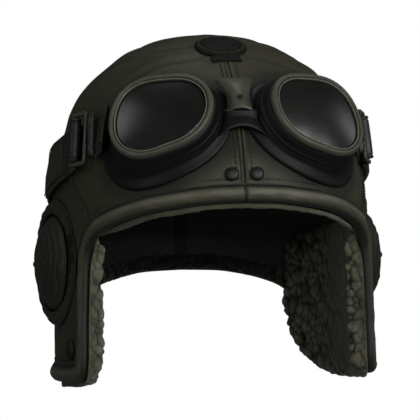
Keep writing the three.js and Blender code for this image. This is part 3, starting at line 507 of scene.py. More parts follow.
def shadow_beside_parts(points, turn):
    """How much painted shade a place gets: most right beside the goggles, the strap and the ear cups, where
    their shade falls on the leather.
    """
    degrees = off_front(np.abs(np.degrees(turn)))
    beside = np.abs(points[..., 2] - strap_rise(degrees)) - STRAP_WIDTH / 2
    beside_shadow = ease((8 - beside) / 8) * (degrees > 58)
    angle = np.linspace(0, 2 * np.pi, 160)
    place = shell_by_height(*rim_spot(angle, rim_radius(angle) + flange_reach(angle)), 0.0)
    for side in SIDES.values():
        away, _ = distance_to(points, mirror(place, side))
        beside_shadow = np.maximum(beside_shadow, ease((13 - away) / 13))
        ear = np.linalg.norm(points - mirror(EAR_PLACE.origin, side), axis=-1) - EAR_RADIUS
        beside_shadow = np.maximum(beside_shadow, ease((9 - ear) / 9))
    return beside_shadow


def make_shell():
    """Leather wall: its outside follows the lower edge's columns up to the top with the relief on it,
    and its inside lies one leather thickness within and closes it at the edge."""
    rows, inner_rows = 120, 26
    u = edge_stations(480, 0.45)
    low_turn, low_z = edge_at(u)

    def wall(share, off):
        lift = mix(low_z / FLAP_DROP, 1.0, share[:, None])
        turn = mix(low_turn, u * np.pi, ease(lift))
        return shell_by_lift(turn, lift, off), turn

    share = 1 - np.linspace(0, 1, rows) ** 1.05
    outside, turn = wall(share, 0.0)
    height, groove_shadow = leather_relief(outside, turn)
    # Painted shade beside the goggles, the strap and the ear cups joins the painted shade of the grooves.
    groove_shadow = np.maximum(groove_shadow, 0.85 * shadow_beside_parts(outside, turn))
    inset, _ = distance_to(outside, EDGE_CURVE)
    # Lighter leather in the middle of the brow, in front: rubbed leather with a painted highlight where the
    # front light falls.
    wear_and_highlight = 0.8 * bell(outside[..., 0], 42) * ease((30 - inset) / 12) * (outside[..., 1] < 0)
    wear_and_highlight *= 0.75 + 0.25 * waves(outside[..., 0], outside[..., 2], 12, low=0.02, high=0.08)
    height[0] = height[1].mean()
    height *= ease(np.linspace(0, 14, rows))[:, None]
    outward = outside * (1, 1, 0.6) + (0, 0, 18)
    normal = grid_normals(outside)
    normal *= np.sign(np.sum(normal * outward, -1, keepdims=True))
    normal[0] = (0, 0, 1)
    outside = outside + normal * height[..., None]
    inside, _ = wall(np.linspace(0, 1, inner_rows), -LEATHER)
    points = np.concatenate((outside, inside))
    inner = ((0, inner_rows), (0, 0))
    marks = {"groove_shadow": np.pad(groove_shadow, inner), "wear_and_highlight": np.pad(wear_and_highlight, inner)}
    marks["inside"] = 1 - np.pad(np.ones(groove_shadow.shape), inner)
    return loft("helmet_leather", points, "pole", marks)


def make_binding():
    """Rolled binding: a closed C-shaped section, cupped round the leather's edge, carried along the
    edge, with a butt joint at the brow and small pulls at the stitches. The end of the section's
    outline, where the leather passes, gives way to the flat back."""
    outline = smooth_ring((
        (8.0, GAP), (7.5, 1.3), (6.0, 2.5), (3.6, 3.15), (1.3, 2.75), (-0.5, 1.5), (-1.45, -0.6),
        (-1.3, -2.6), (-0.2, -3.9), (1.6, -4.15), (3.1, -3.5), (3.2, -LEATHER - GAP),
    ), 40)
    face = outline[:38]
    back = np.array([(1.0, -LEATHER - GAP), (-0.35, -LEATHER - GAP), (-0.35, GAP), (3.0, GAP)])
    inset, off = np.concatenate((face, back)).T[:, None]
    skin = np.pad(np.ones(len(face)), (0, len(back)))
    u = edge_stations(840, 0.35)[:, None]
    way, reach, kept = u * EDGE_LENGTH, binding_reach(u), 3.0
    slim = (reach - kept) / (BINDING_WIDTH - kept)
    inset = np.where(inset > kept, kept + (inset - kept) * slim, inset)
    outer = skin * (off > 0.5)
    pull = 0.16 * waves(way, inset * 3, 8, low=0.03, high=0.12) + 0.04 * np.sin(way * 2 * np.pi / 3.4)
    points = near_edge(u, inset, off + outer * (pull - 1.5 * bell(way, 0.45)))
    # Painted shade at the butt joint, along the binding's upper edge on the leather and where it turns under;
    # painted highlight along its rolled crest, strongest at the brow's middle.
    groove_shadow = np.maximum(outer * bell(way, 0.8), bell(inset - reach, 1.3))
    groove_shadow = np.maximum(groove_shadow, 0.9 * ease((0.9 - inset) / 1.6))
    wear_and_highlight = outer * bell(inset - 4.4, 1.9) * (0.3 + 0.7 * bell(points[..., 0], 70))
    wear_and_highlight *= 0.8 + 0.2 * waves(way, inset * 2, 9, low=0.01, high=0.05)
    return loft("binding", points, "loop", {"groove_shadow": groove_shadow, "wear_and_highlight": wear_and_highlight})


def make_seam_lip(name, side, facing, low, high, off):
    """Lip along one side of the middle seam: a thin round cord half sunk into the leather."""
    z, angle = np.linspace(low, high, 140)[:, None], around(14)
    turn, height = beside_middle(facing, 1.1875 * side + 0.9 * np.cos(angle) + 0 * z, z)
    lift = off + 0.6 * np.sin(angle) + 0.05 * np.sin(z * 1.9)
    return loft(name, shell_by_height(turn, height, lift), "pole")


def make_inner_tape():
    """Flat tape over the seam inside the nape, with a rounded section and a rib at each edge."""
    z = np.linspace(-20, 96, 90)[:, None]
    section = smooth_ring([(-3.6, 0), (-3.4, 0.7), (-2.6, 0.75), (-1.6, 0.35), (1.6, 0.35), (2.6, 0.75),
                           (3.4, 0.7), (3.6, 0)], 24)
    place = Frame((0, 0, 0), (0, 1, 0))
    turn, height = spot_behind(place, section[:, 0], z, -LEATHER, np.pi, z)
    return loft("nape_tape", shell_by_height(turn, height, -LEATHER - 0.2 - section[:, 1]), "pole")


# Fleece

def grow_locks(base, inward, strength, pitch, rise, seed):
    """Face of a fleece: every place moves out, square to the pad, by a rounded lump round each strewn
    spot, with a finer curl on it, and sinks between the lumps."""
    normal = grid_normals(base)
    normal = normal * np.sign(np.sum(normal * inward))
    x, y, z = np.moveaxis(base, -1, 0)
    warp = np.stack([waves(y + 40 * k, z - x, seed + k, low=0.03, high=0.1) for k in range(3)], -1)
    first, second = cells(base + 1.3 * warp, pitch, seed)
    small, _ = cells(base - warp, pitch * 0.42, seed + 7)
    split = 1 - ease((second - first) / 0.16)
    lock = rise * (0.8 - (first * 1.15) ** 2 + 0.45 * (0.6 - small) - 0.3 * split)
    face = base + normal * (lock * strength)[..., None]
    # Marks: painted shade in the splits between the lumps and painted highlight on their tops.
    return face, {"groove_shadow": split * strength, "wear_and_highlight": ease(1.15 - first * 1.3) * strength}


def close_pad(name, face, flat, marks, side=1):
    """Pad from its woolly face and its flat back, which carries no marks."""
    marks = {key: np.pad(value, ((0, 0), (0, flat.shape[1]))) for key, value in marks.items()}
    return loft(name, mirror(np.concatenate((face, flat), axis=1), side), "cap", marks)


def make_flap_fleece(name, side, seed):
    """Lining of a flap: a pad between the flap's edge and a slanting line across its top. Its section
    is a rounded wall at the edge, a flat face and a long soft slope at the top. Its locks stand up
    along the flap's edge and lie flat in the middle, and its pile rolls out past the front edge."""
    a = np.linspace(0, 1, 300)
    hang = through([0, 0.06, 0.28, 0.36, 0.6, 0.8, 1], [2.6, 3.2, 3.2, 3.2, 4.6, 5.0, 4.2], a)
    low_turn, low_z = spot_near_edge(mix(EDGE_SHARES[FLAP_FRONT], EDGE_SHARES[FLAP_REAR], a), -hang)
    top_turn = mix(low_turn[0], np.radians(FLEECE_TOP["turn"]), a)
    top_z = -mix(FLEECE_TOP["front"], FLEECE_TOP["rear"], a) * FLAP_DROP
    tall = np.linalg.norm(shell_by_height(low_turn, low_z) - shell_by_height(top_turn, top_z), axis=-1)
    tall, hang, low_turn, low_z, top_turn, top_z = (
        row[:, None] for row in (tall, hang, low_turn, low_z, top_turn, top_z))
    wall, slope = np.linspace(0, np.pi / 2, 30)[None], np.linspace(np.pi / 2, np.pi, 24)[None]
    face = np.linspace(0, 1, 92)[None, 1:-1]
    inset = np.concatenate((
        PAD_LOW_ROUND * (1 - np.cos(wall)) + 0 * tall,
        mix(PAD_LOW_ROUND, tall - PAD_TOP_ROUND, face),
        tall - PAD_TOP_ROUND * (1 + np.cos(slope)),
    ), 1)
    depth = np.concatenate((np.sin(wall), 1 + 0 * face, np.sin(slope)), 1) + 0 * tall
    share = np.clip(inset / tall, 0, 1)
    turn, z = mix(low_turn, top_turn, share), mix(low_z, top_z, share)
    past = ease((hang - inset - 1.8) / 1.5)
    front = ease((0.36 - a) / 0.08)[:, None]
    back = 3.2 * past * mix(0.35, 1, front) - LEATHER - FLEECE_SETBACK
    flat = shell_by_height(turn, z, back)
    along = arc_lengths(flat[:, 40:41])
    end = rounded(np.minimum(along, along[-1] - along) / 5)
    pile = FLEECE_PILE * mix(0.62, 1.0, ease(a / 0.5))[:, None]
    pile = pile + front * (2.2 * bell(inset - 5, 4.0) + 3.2 * past)
    base = shell_by_height(turn, z, back - pile * depth * mix(0.02, 1, end) - 0.05)
    woolly = np.maximum(ease((10 - inset) / 5), ease((np.degrees(turn) - 92) / 20))
    strength = mix(0.3, 1.0, woolly) * mix(0.1, 1, ease(end)) * mix(0.35, 1, depth)
    face, marks = grow_locks(base, -flat * (1, 1, 0), strength, 6.6, FLEECE_LOCK, seed)
    return close_pad(name, face, flat[:, ::-6], marks, side)


def make_trim(name, start, end, hang, seed):
    """Roll of fleece inside an edge: half an ellipse in section, hanging a little below the edge, with
    small locks, and a flat back."""
    def back(inset):
        return 1.8 * ease((-1.6 - inset) / 1.2) - LEATHER - FLEECE_SETBACK

    u = np.linspace(start, end, 560)[:, None]
    t = np.linspace(0, np.pi, 40)[None]
    in_from_end = np.minimum(u - start, end - u) * EDGE_LENGTH
    full = rounded(in_from_end / 4)
    hang = hang * ease(in_from_end / 22)
    inset = mix(-hang, TRIM_WIDTH, 0.5 - 0.5 * np.cos(t))
    base = near_edge(u, inset, back(inset) - TRIM_PILE * np.sin(t) ** 0.7 * mix(0.05, 1, full) - 0.05)
    strength = mix(0.1, 1, full) * np.sin(t) ** 0.3
    face, marks = grow_locks(base, -base * (1, 1, 0), strength, 4.6, 1.25, seed)
    inset = mix(TRIM_WIDTH, -hang, np.linspace(0, 1, 12)[None])
    return close_pad(name, face, near_edge(u, inset, back(inset)), marks)


# Ear cups

def strap_rise(degrees):
    """Height of the strap's middle at a turn in degrees from the front, on either side."""
    degrees = np.asarray(degrees, float)
    level = GOGGLE_RISE - STRAP_FALL
    return through(STRAP_PATH[:, 0], STRAP_PATH[:, 1], off_front(degrees)) * level


EAR_Z = float(strap_rise(EAR_TURN)) - STRAP_WIDTH / 2 - EAR_BELOW_STRAP - EAR_RADIUS
CAP_RADIUS = EAR_RADIUS - EAR_RING_WIDTH
EAR_PLACE = frame_turned(shell_by_height(np.radians(EAR_TURN), EAR_Z), EAR_YAW, 0)


def ear_seat(across, up):
    """How far out the leather lies behind places of the ear cup's frame."""
    place = behind(EAR_PLACE, across, up, GAP, np.radians(EAR_TURN), EAR_Z)
    return (place - EAR_PLACE.origin) @ EAR_PLACE.normal


def make_ear_ring(name, side, seed):
    """Padded ring: a rounded section swept round the ear, whose foot follows the leather, with small
    puckers. Towards the face it spreads, most of all at its outer flank, and its crest sinks."""
    section = smooth_ring([
        (0, 0.02), (-0.09, 0.3), (0.02, 0.66), (0.25, 0.92), (0.52, 1.0), (0.78, 0.96), (0.94, 0.8),
        (0.96, 0.4), (0.96, 0.05), (0.5, 0.0),
    ], 44)
    reach, rise = section.T[:, None]
    angle = around(220).T
    front = bell(angle - np.pi, 1.15)
    distance = EAR_RADIUS - reach * EAR_RING_WIDTH + front * mix(*EAR_FLANK, ease(1 - reach * 2))
    across, up = polar(angle, distance)
    pucker = 0.28 * waves(angle * EAR_RADIUS, rise * 9, seed, low=0.05, high=0.2) * ease(rise * 2)
    out = mix(ear_seat(across, up), EAR_HEIGHT - EAR_FLANK_SINK * front, rise) + pucker
    # Painted shade in the gap to the cap and down at the foot; painted highlight along the crest, strongest
    # towards the face.
    groove_shadow = np.maximum(ease((reach - 0.84) / 0.1), 0.8 * ease((0.35 - rise) / 0.3)) + 0 * angle
    crest = bell(reach - 0.42, 0.16) * ease((rise - 0.7) / 0.2) * (0.3 + 0.7 * front)
    points = mirror(EAR_PLACE.at(across, up, out), side)
    return loft(name, points, "loop", {"groove_shadow": groove_shadow, "wear_and_highlight": crest})


def make_ear_cap(name, side, seed):
    """Leather cap inside the ring: a dome with a rounded shoulder and wavering rings pressed into it."""
    angle = around(160)
    reach = np.linspace(1, 0, 90)[:, None] ** 0.85
    foot = float(ear_seat(*polar(angle, CAP_RADIUS)).max()) + GAP
    rise = through([0, 0.18, 0.4, 0.62, 0.8, 0.95, 1.0], [1, 0.975, 0.89, 0.73, 0.5, 0.2, 0.0], reach)
    radius = reach * CAP_RADIUS
    across, up = polar(angle, radius)
    waver = 1.2 * waves(across, up, seed, low=0.02, high=0.06)
    window = ease((reach - 0.3) / 0.2) * ease((0.97 - reach) / 0.08)
    ring = np.sin(2 * np.pi * (radius + waver) / 4.4)
    top = mix(foot, CAP_HEIGHT, rise) + 0.22 * ring * window * (1 - ease((14 - radius) / 8))
    top += 0.2 * waves(across, up, seed + 2, low=0.05, high=0.12) * window
    under = np.linspace(0, 0.98, 8)[:, None] * CAP_RADIUS + 0 * angle
    height = np.concatenate((foot + 0 * under, top))
    points = EAR_PLACE.at(*polar(angle, np.concatenate((under, radius + 0 * angle))), height)
    # Painted shade in the pressed rings and round the cap's edge.
    groove_shadow = 0.35 * ease(-ring) * window + ease((radius - CAP_RADIUS + 0.9) / 2)
    return loft(name, mirror(points, side), "pole", {"groove_shadow": np.concatenate((0 * under, groove_shadow))})


def make_dome(name, place, out, radius, height, side=1, slot=0.0, across=0.0):
    """Turned stud: a low wall, a rounded shoulder and a flat-domed top, with a slot across it if cut."""
    knots, at = np.linspace(0, 1, 8), np.linspace(0, 1, 26)
    reach = np.append(0.0, through(knots, [1.0, 1.02, 1.0, 0.93, 0.76, 0.5, 0.25, 0.0], at))[:, None]
    rise = np.append(0.0, through(knots, [0.0, 0.16, 0.36, 0.6, 0.82, 0.95, 0.99, 1.0], at))[:, None]
    x, y = polar(around(40), reach * radius)
    z = rise * height - slot * bell(x, radius * 0.14) * (rise > 0.5)
    return loft(name, mirror(place.at(x + across, y, z + out), side), "pole")


# Studs and patch

FRONT = Frame((0, 0, 0), (0, -1, 0))
RIVET_TURN, _ = spot_behind(FRONT, RIVET_SPREAD, RIVET_RISE, 0.0, 0.1, RIVET_RISE)
RIVET_PLACE = seat_on_shell(float(RIVET_TURN), RIVET_RISE)
PATCH_Z = CROWN_HEIGHT - PATCH_BELOW_TOP
PATCH_PLACE = seat_on_shell(1e-4, PATCH_Z)
PATCH_PLACE = Frame(PATCH_PLACE.origin * (0, 1, 1), PATCH_PLACE.normal * (0, 1, 1))


def on_oval(angle, reach):
    return np.cos(angle) * reach * PATCH_ACROSS, np.sin(angle) * reach * PATCH_ALONG


def on_patch(across, up, off):
    return behind(PATCH_PLACE, across, up, off, 1e-3, PATCH_Z)


def make_patch():
    """Plain oval patch: a flat foot, a rounded border, and a slightly crowned middle; two pressed grooves,
    one inside the border and a second, shallow one in the middle, are darkened as painted shade."""
    angle = around(150)
    reach = 1 - np.linspace(0, 1, 84)[:, None] ** 1.25
    under = np.linspace(0, 1, 10)[:, None]
    stand = (0.78 + 0.22 * (1 - reach**2)) * mix(0.1, 1, rounded((1.005 - reach) / 0.075))
    stand = stand - 0.2 * bell(reach - 0.74, 0.03) - 0.1 * bell(reach - 0.5, 0.035)
    x, y = on_oval(angle, reach)
    top = on_patch(x, y, GAP + PATCH_THICK * stand + 0.1 * waves(x, y, 21, low=0.05, high=0.15))
    foot = on_patch(*on_oval(angle, under), GAP)
    groove_shadow = np.maximum(bell(reach - 0.74, 0.045), 0.7 * bell(reach - 0.5, 0.04))
    groove_shadow = np.concatenate((0 * under, groove_shadow)) + 0 * angle
    return loft("crown_patch_leather", np.concatenate((foot, top)), "pole", {"groove_shadow": groove_shadow})


def make_patch_tab():
    """Short strip below the patch, with rounded edges and a dip in its middle."""
    share, angle = np.linspace(-1, 1, 60)[:, None], around(28)
    across = share * TAB_HALF
    drop = 0.5 + 0.5 * signed_power(np.cos(angle), 0.5)
    lift = 0.5 + 0.5 * signed_power(np.sin(angle), 0.6)
    ends = np.sqrt(np.clip(1 - np.abs(share) ** 10, 0.02, 1))
    off = GAP + TAB_UP * lift * mix(0.3, 1.0, ends) - 0.35 * bell(across, 1.0) * (lift > 0.5)
    up = -PATCH_ALONG - GAP - drop * TAB_LONG
    return loft("patch_tab_leather", on_patch(across + 0 * up, up, off), "cap")


# Goggles

RIM_SPOT = tuple(map(float, spot_behind(FRONT, GOGGLE_SPREAD, GOGGLE_RISE, 0.0, 0.4, GOGGLE_RISE)))
RIM_PLACE = frame_turned(shell_by_height(*RIM_SPOT) - (0, RIM_STAND, 0), RIM_YAW, RIM_PITCH)


def rim_radius(angle):
    return RIM_RADIUS * (1 + sum(c * np.cos(k * angle) + s * np.sin(k * angle) for k, c, s in RIM_WAVES))


def flange_reach(angle):
    return FLANGE_REACH - FLANGE_BELOW * np.sin(angle) + FLANGE_OUTSIDE * np.cos(angle)


def on_rim(angle, radius, out, side):
    return mirror(RIM_PLACE.at(*polar(angle, radius), out), side)


def rim_spot(angle, radius):
    return spot_behind(RIM_PLACE, *polar(angle, radius), GAP, *RIM_SPOT)


def make_rim(name, side):
    """Metal rim: a rolled section swept round the lens, with a step and a thin lip beside the glass."""
    section = smooth_ring([
        (0.0, 0.04), (-0.08, 0.4), (0.04, 0.8), (0.28, 1.0), (0.52, 0.98), (0.66, 0.8), (0.76, 0.76),
        (0.84, 0.9), (0.95, 0.86), (1.0, 0.5), (0.97, 0.08), (0.5, 0.0),
    ], 52)
    reach, rise = section.T[:, None]
    angle = around(220).T
    face = (rise > 0.6) + 0 * angle
    points = on_rim(angle, rim_radius(angle) - reach * RIM_WIDTH, GAP + rise * RIM_DEPTH, side)
    # Lighter along the thin lip beside the glass, and painted shade in the step before the lip.
    marks = {"wear_and_highlight": bell(reach - 0.88, 0.1) * face, "groove_shadow": bell(reach - 0.72, 0.06) * face}
    return loft(name, points, "loop", marks)


def make_lens(name, side):
    """Lens: two domed faces joined by a rounded edge inside the rim."""
    angle = around(160)
    back, front = np.linspace(0, 1, 20)[:, None], np.linspace(1, 0, 40)[:, None]
    share = np.concatenate((back, front))
    thick = np.concatenate((0 * back, LENS_THICK + 0 * front))
    radius = share * (rim_radius(angle) - RIM_WIDTH - GAP)
    out = LENS_SEAT + thick + LENS_DOME * (1 - share**2)
    return loft(name, on_rim(angle, radius, out, side), "pole")


def make_cup(name, side):
    """Rubber cup: a rolled flange on the leather, a hollowed wall with a thin bead, and a lip under the
    rim, all swept round the lens. Each place of the section has four shares: how far out it is on the
    flange, how far in through the wall, how high on the flange and how far up from leather to rim."""
    section = smooth_ring([
        (0.0, 1.0, 0.0, 0.0), (0.5, 0.0, 0.0, 0.0), (0.9, 0.0, 0.0, 0.0), (1.0, 0.0, 0.35, 0.0),
        (0.93, 0.0, 0.9, 0.0), (0.7, 0.0, 1.02, 0.02), (0.5, 0.0, 0.95, 0.1), (0.36, 0.0, 0.75, 0.32),
        (0.2, 0.0, 0.3, 0.6), (0.08, 0.0, 0.0, 0.88), (0.0, 0.1, 0.0, 0.985), (0.0, 0.5, 0.0, 0.99),
        (0.0, 0.88, 0.0, 0.985), (0.02, 1.0, 0.0, 0.7), (0.0, 1.02, 0.0, 0.3),
    ], 90)
    reach, wall, lip, rise = section.T[:, None]
    angle, outer = around(200).T, wall < 0.3
    bead = 0.7 * bell(rise - 0.52, 0.035) * outer
    radius = rim_radius(angle) + reach * flange_reach(angle) - wall * CUP_WALL + bead
    seat = (shell_by_height(*rim_spot(angle, radius), GAP) - RIM_PLACE.origin) @ RIM_PLACE.normal
    out = mix(seat + np.maximum(lip, 0) * FLANGE_THICK, 0, np.clip(rise, 0, 1))
    # Painted shade in a thin line round the wall, just below its bead.
    groove_shadow = bell(rise - 0.45, 0.03) * outer + 0 * angle
    return loft(name, on_rim(angle, radius, out, side), "loop", {"groove_shadow": groove_shadow})


def make_nose_piece(name, rows, sweep, thick, crown, arch=0.0, flare=0.0):
    """Plate over the nose: rounded strips, bowed round the face, one above the other, each with its own
    half width and stand-off. Its foot may flare, arch up in the middle and carry a crowned rib."""
    at = np.linspace(0, 1, 60)[:, None]
    rise, half, stand = (through(np.linspace(0, 1, len(rows)), column, at) for column in rows.T)
    angle = around(64)
    across = signed_power(np.cos(angle), 0.55)
    full = mix(0.35, 1.0, ease(np.minimum(at, 1 - at) / 0.06))
    depth = 0.5 - 0.5 * signed_power(np.sin(angle), 0.7) * full
    front = shell_by_height(0.0, GOGGLE_RISE + rise * RIM_RADIUS, stand * BRIDGE_STAND)
    x = across * half * (GOGGLE_SPREAD - RIM_RADIUS) * (1 + flare * ease(at))
    y = front[..., 1] + sweep * across**2 + thick * depth - crown * bell(across, 0.25) * (depth < 0.5)
    z = front[..., 2] - arch * ease(at) * across**2
    return loft(name, np.stack(np.broadcast_arrays(x, y, z), -1), "cap")


# Strap

BUCKLE_RISE = GOGGLE_RISE - STRAP_FALL
TAB_ANGLES = np.array([-0.4, 0.0, 0.4])
TAB_REACH = rim_radius(TAB_ANGLES) + TAB_ON_FLANGE * flange_reach(TAB_ANGLES)
TAB_START = float(rim_spot(TAB_ANGLES, TAB_REACH)[0].max())


def turn_after(turn, z, length, steps=24):
    """Turn reached after a length along the leather at one height."""
    for _ in range(steps):
        turn += length / steps / np.linalg.norm(slopes(turn, z)[0])
    return turn


BUCKLE_TURN = turn_after(TAB_START, BUCKLE_RISE, TAB_LENGTH + BUCKLE_WIDTH / 2)
SLEEVE_TURN = turn_after(TAB_START, BUCKLE_RISE, SLEEVE_FROM_CUP)
BUCKLE_PLACE = seat_on_shell(BUCKLE_TURN, BUCKLE_RISE)
BUCKLE_UPRIGHT = Frame(BUCKLE_PLACE.at(0, 0, STRAP_LEAN / 2 + 1.2), BUCKLE_PLACE.normal * (1, 1, 0.3))
BUCKLE_INSIDE = STRAP_WIDTH / 2 + BUCKLE_PLAY


def turns_beside(across):
    """Turns in degrees behind the low, middle and high place of an upright line beside the buckle."""
    up = np.array([-0.5, 0, 0.5]) * STRAP_WIDTH
    turn, _ = spot_behind(BUCKLE_PLACE, across + 0 * up, up, 0.0, BUCKLE_TURN, BUCKLE_RISE + up)
    return np.degrees(turn)


TAB_END = float(turns_beside(-BUCKLE_WIDTH / 2 - 2 * GAP).min())
STRAP_START = float(turns_beside(BUCKLE_WIDTH / 2 + 2 * GAP).max())


def upright(degrees, across):
    """How far the strap stands off at a share across its width, because it leans upright at the sides
    of the head: nothing at its lower edge and most at its top."""
    turn = off_front(degrees)
    lean = STRAP_LEAN * ease((turn - 44) / 14) * (1 - ease((turn - 76) / 18))
    return lean * (across + STRAP_LINE)


def strap_thickness(degrees):
    """Twice the leather up to where the folded end is sewn down, and once the leather behind it."""
    return STRAP_THICK * (1 + ease((STRAP_DOUBLED_TO - off_front(degrees)) / 1.6))


def band(name, degrees, z, stand, thick, width, side=1, seams=(), seed=31):
    """Leather band along the shell: a rounded flat section carried round at its height and stand-off,
    with shallow waves, a pressed line near each edge, and dents where it is sewn across."""
    angle = around(56)
    across = 0.5 * signed_power(np.cos(angle), 0.4)
    lift = 0.5 + 0.5 * signed_power(np.sin(angle), 0.45)
    degrees, z, stand, thick = np.stack(np.broadcast_arrays(degrees, z, stand, thick))[..., None]
    top = lift > 0.6
    # Painted shade in the pressed lines near the edges and in the stitch dents; the edges are marked lighter.
    line = bell(np.abs(across) - STRAP_LINE, 0.018) * top + 0 * degrees
    dent = sum((bell(degrees - at, 0.45) for at in seams), 0 * degrees) * top
    off = stand + thick * lift - 0.2 * line - 0.55 * dent + upright(degrees, across)
    off = off + 0.22 * waves(degrees * 1.6, across * width, seed, low=0.02, high=0.09) * (lift - 0.1)
    points = shell_by_height(np.radians(degrees), z + across * width, off)
    wear_and_highlight = (1 - ease((0.5 - np.abs(across)) / 0.035)) * (lift > 0.4) + 0 * degrees
    return loft(name, mirror(points, side), "cap", {"groove_shadow": np.maximum(line, dent), "wear_and_highlight": wear_and_highlight})


def make_strap():
    """Strap: one band from buckle to buckle round the back, whose doubled ends are sewn down."""
    degrees = np.linspace(STRAP_START, 360 - STRAP_START, 700)
    thick = strap_thickness(degrees) * mix(0.55, 1.0, ease((off_front(degrees) - STRAP_START) / 0.5))
    seams = [STRAP_START + 3.4, STRAP_START + 5.0, 92.4]
    seams += [360 - at for at in seams]
    return band("strap_band", degrees, strap_rise(degrees), STRAP_STAND, thick, STRAP_WIDTH, seams=seams)


def make_tab(name, side, seed):
    """Tab: from the back of the rim down the cup's wall and along the leather to the buckle."""
    start, low = np.degrees(TAB_START), -0.7
    share = np.linspace(low, 1, 110)
    thick = TAB_THICK * mix(0.5, 1, ease(np.minimum(share - low, 1 - share) / 0.05))
    stand = through([low, -0.4, 0, 0.35, 1], [13.5, 10.5, 4.9, 3.3, TAB_STAND[1]], share)
    seams = [mix(start, TAB_END, at) for at in (0.02, 0.12)]
    z = GOGGLE_RISE - mix(*TAB_FALL, share)
    return band(name, mix(start, TAB_END, share), z, stand, thick, STRAP_WIDTH - 1, side, seams, seed)


def make_shadow_chape(name, side):
    """Dark strip of leather under the open part of the buckle, which joins the tab to the strap: painted
    shadow inside the buckle's opening.
    """
    degrees = np.linspace(TAB_END - 1.5, STRAP_START + 1.5, 60)
    return band(name, degrees, strap_rise(degrees), 0.25, 0.9, STRAP_WIDTH - 2, side, (), 33)


def make_buckle(name, side):
    """Bent bar buckle: a rounded section carried along a U whose corners are arcs."""
    front, rail, bend = (BUCKLE_BAR - BUCKLE_WIDTH) / 2, BUCKLE_INSIDE + BUCKLE_BAR / 2, 2.0
    arc = np.linspace(0, np.pi / 2, 14)
    low = np.array([front + bend, -rail]) + bend * np.stack((-np.sin(arc), 1 - np.cos(arc)), -1)
    straight = np.linspace(-rail + bend, rail - bend, 24)[1:-1]
    front_bar = np.stack((front + 0 * straight, straight), -1)
    lead = np.linspace(BUCKLE_WIDTH / 2, front + bend, 16)[:-1]
    low = np.concatenate((np.stack((lead, -rail + 0 * lead), -1), low))
    path = np.concatenate((low, front_bar, low[::-1] * (1, -1)))
    step = unit(np.gradient(path, axis=0))
    wide = BUCKLE_BAR / 2 * signed_power(np.cos(around(24)), 0.7)
    high = 0.5 + 0.5 * signed_power(np.sin(around(24)), 0.7) + 0 * path[:, :1]
    across, up = path[:, :1] + step[:, 1:] * wide, path[:, 1:] - step[:, :1] * wide
    points = BUCKLE_UPRIGHT.at(across, up, BUCKLE_STAND + BUCKLE_THICK * high)
    return loft(name, mirror(points, side), "cap", {"wear_and_highlight": ease(high * 1.6 - 0.6)})


def make_roller(name, side):
    """Roller: a turned bar with a collar and a narrow neck at each end."""
    knots = [0, 0.001, 0.03, 0.05, 0.07, 0.09, 0.11, 0.5, 0.89, 0.91, 0.93, 0.95, 0.97, 0.999, 1]
    reach = [0, 0.86, 1, 1, 0.86, 0.86, 0.97, 1, 0.97, 0.86, 0.86, 1, 1, 0.86, 0]
    cuts = np.linspace(0, 0.12, 40)
    at = np.concatenate((cuts, np.linspace(0.12, 0.88, 40)[1:-1], cuts + 0.88))[:, None]
    across, out = polar(around(48), (ROLLER_RADIUS + 0.8) * np.interp(at, knots, reach))
    across = across + BUCKLE_WIDTH / 2 - ROLLER_RADIUS - GAP
    up = (at - 0.5) * 2 * (BUCKLE_INSIDE - GAP)
    points = BUCKLE_UPRIGHT.at(across, up, out + BUCKLE_STAND + BUCKLE_THICK / 2)
    return loft(name, mirror(points, side), "pole")


def make_sleeve(name, side):
    """Half-round bar over the tab: half an ellipse in section, tapering to rounded ends."""
    start = np.degrees(TAB_START)
    share = (np.degrees(SLEEVE_TURN) - start) / (TAB_END - start)
    foot = mix(*TAB_STAND, share) + TAB_THICK + 2 * GAP
    place = seat_on_shell(SLEEVE_TURN, GOGGLE_RISE - mix(*TAB_FALL, share))
    place = Frame(place.at(0, 0, STRAP_LEAN / 2), place.normal * (1, 1, 0.15))
    at = np.linspace(-1, 1, 70)[:, None]
    taper = (1 - np.abs(at) ** 9) ** 0.5 * 0.94 + 0.06
    half, flat = np.linspace(0, np.pi, 26), np.linspace(-0.9, 0.9, 10)
    wide = np.concatenate((np.cos(half), flat)) * SLEEVE_WIDTH / 2
    high = np.concatenate((np.sin(half), 0 * flat)) * SLEEVE_BULGE
    points = place.at(wide * mix(0.7, 1, taper), at * STRAP_WIDTH / 2, foot + high * taper)
    return loft(name, mirror(points, side), "cap")


# Stitches

def stitch_row(points, normals, pitch):
    """Places, directions and normals of stitches set evenly along a finely cut line."""
    def along(values, shift=0.0):
        return np.stack([np.interp(at + shift, way, column) for column in values.T], -1)

    way = arc_lengths(points)
    at = np.arange(pitch / 2, way[-1], pitch)
    return along(points), unit(along(points, 0.4) - along(points, -0.4)), unit(along(normals))


def make_stitches(name, rows, length, width, rise):
    """All stitches of one thread in one mesh: each is a small closed lozenge with a rounded top, half
    sunk into the leather."""
    places, along, facing = (np.concatenate(group)[:, None, None] for group in zip(*rows))
    t, angle = np.linspace(-1, 1, 7)[:, None], around(8)
    wide, high = polar(angle, np.sqrt(np.clip(1 - t**4, 0.0, 1)))
    steps = (t + 0 * angle) * length / 2, wide * width / 2, high * rise
    directions = along, np.cross(facing, along), facing
    points = places + sum(step[..., None] * way for step, way in zip(steps, directions))
    faces = grid_faces(*wide.shape)
    faces = faces[None] + (np.arange(len(places)) * wide.size)[:, None, None]
    return finish_mesh(name, points, faces.reshape(-1, 4))


def shell_line(turn, z, off):
    """Places of a line over the leather, and the leather's outward direction there."""
    round_, rise = slopes(turn, z)
    return shell_by_height(turn, z, off), unit(np.cross(round_, rise))


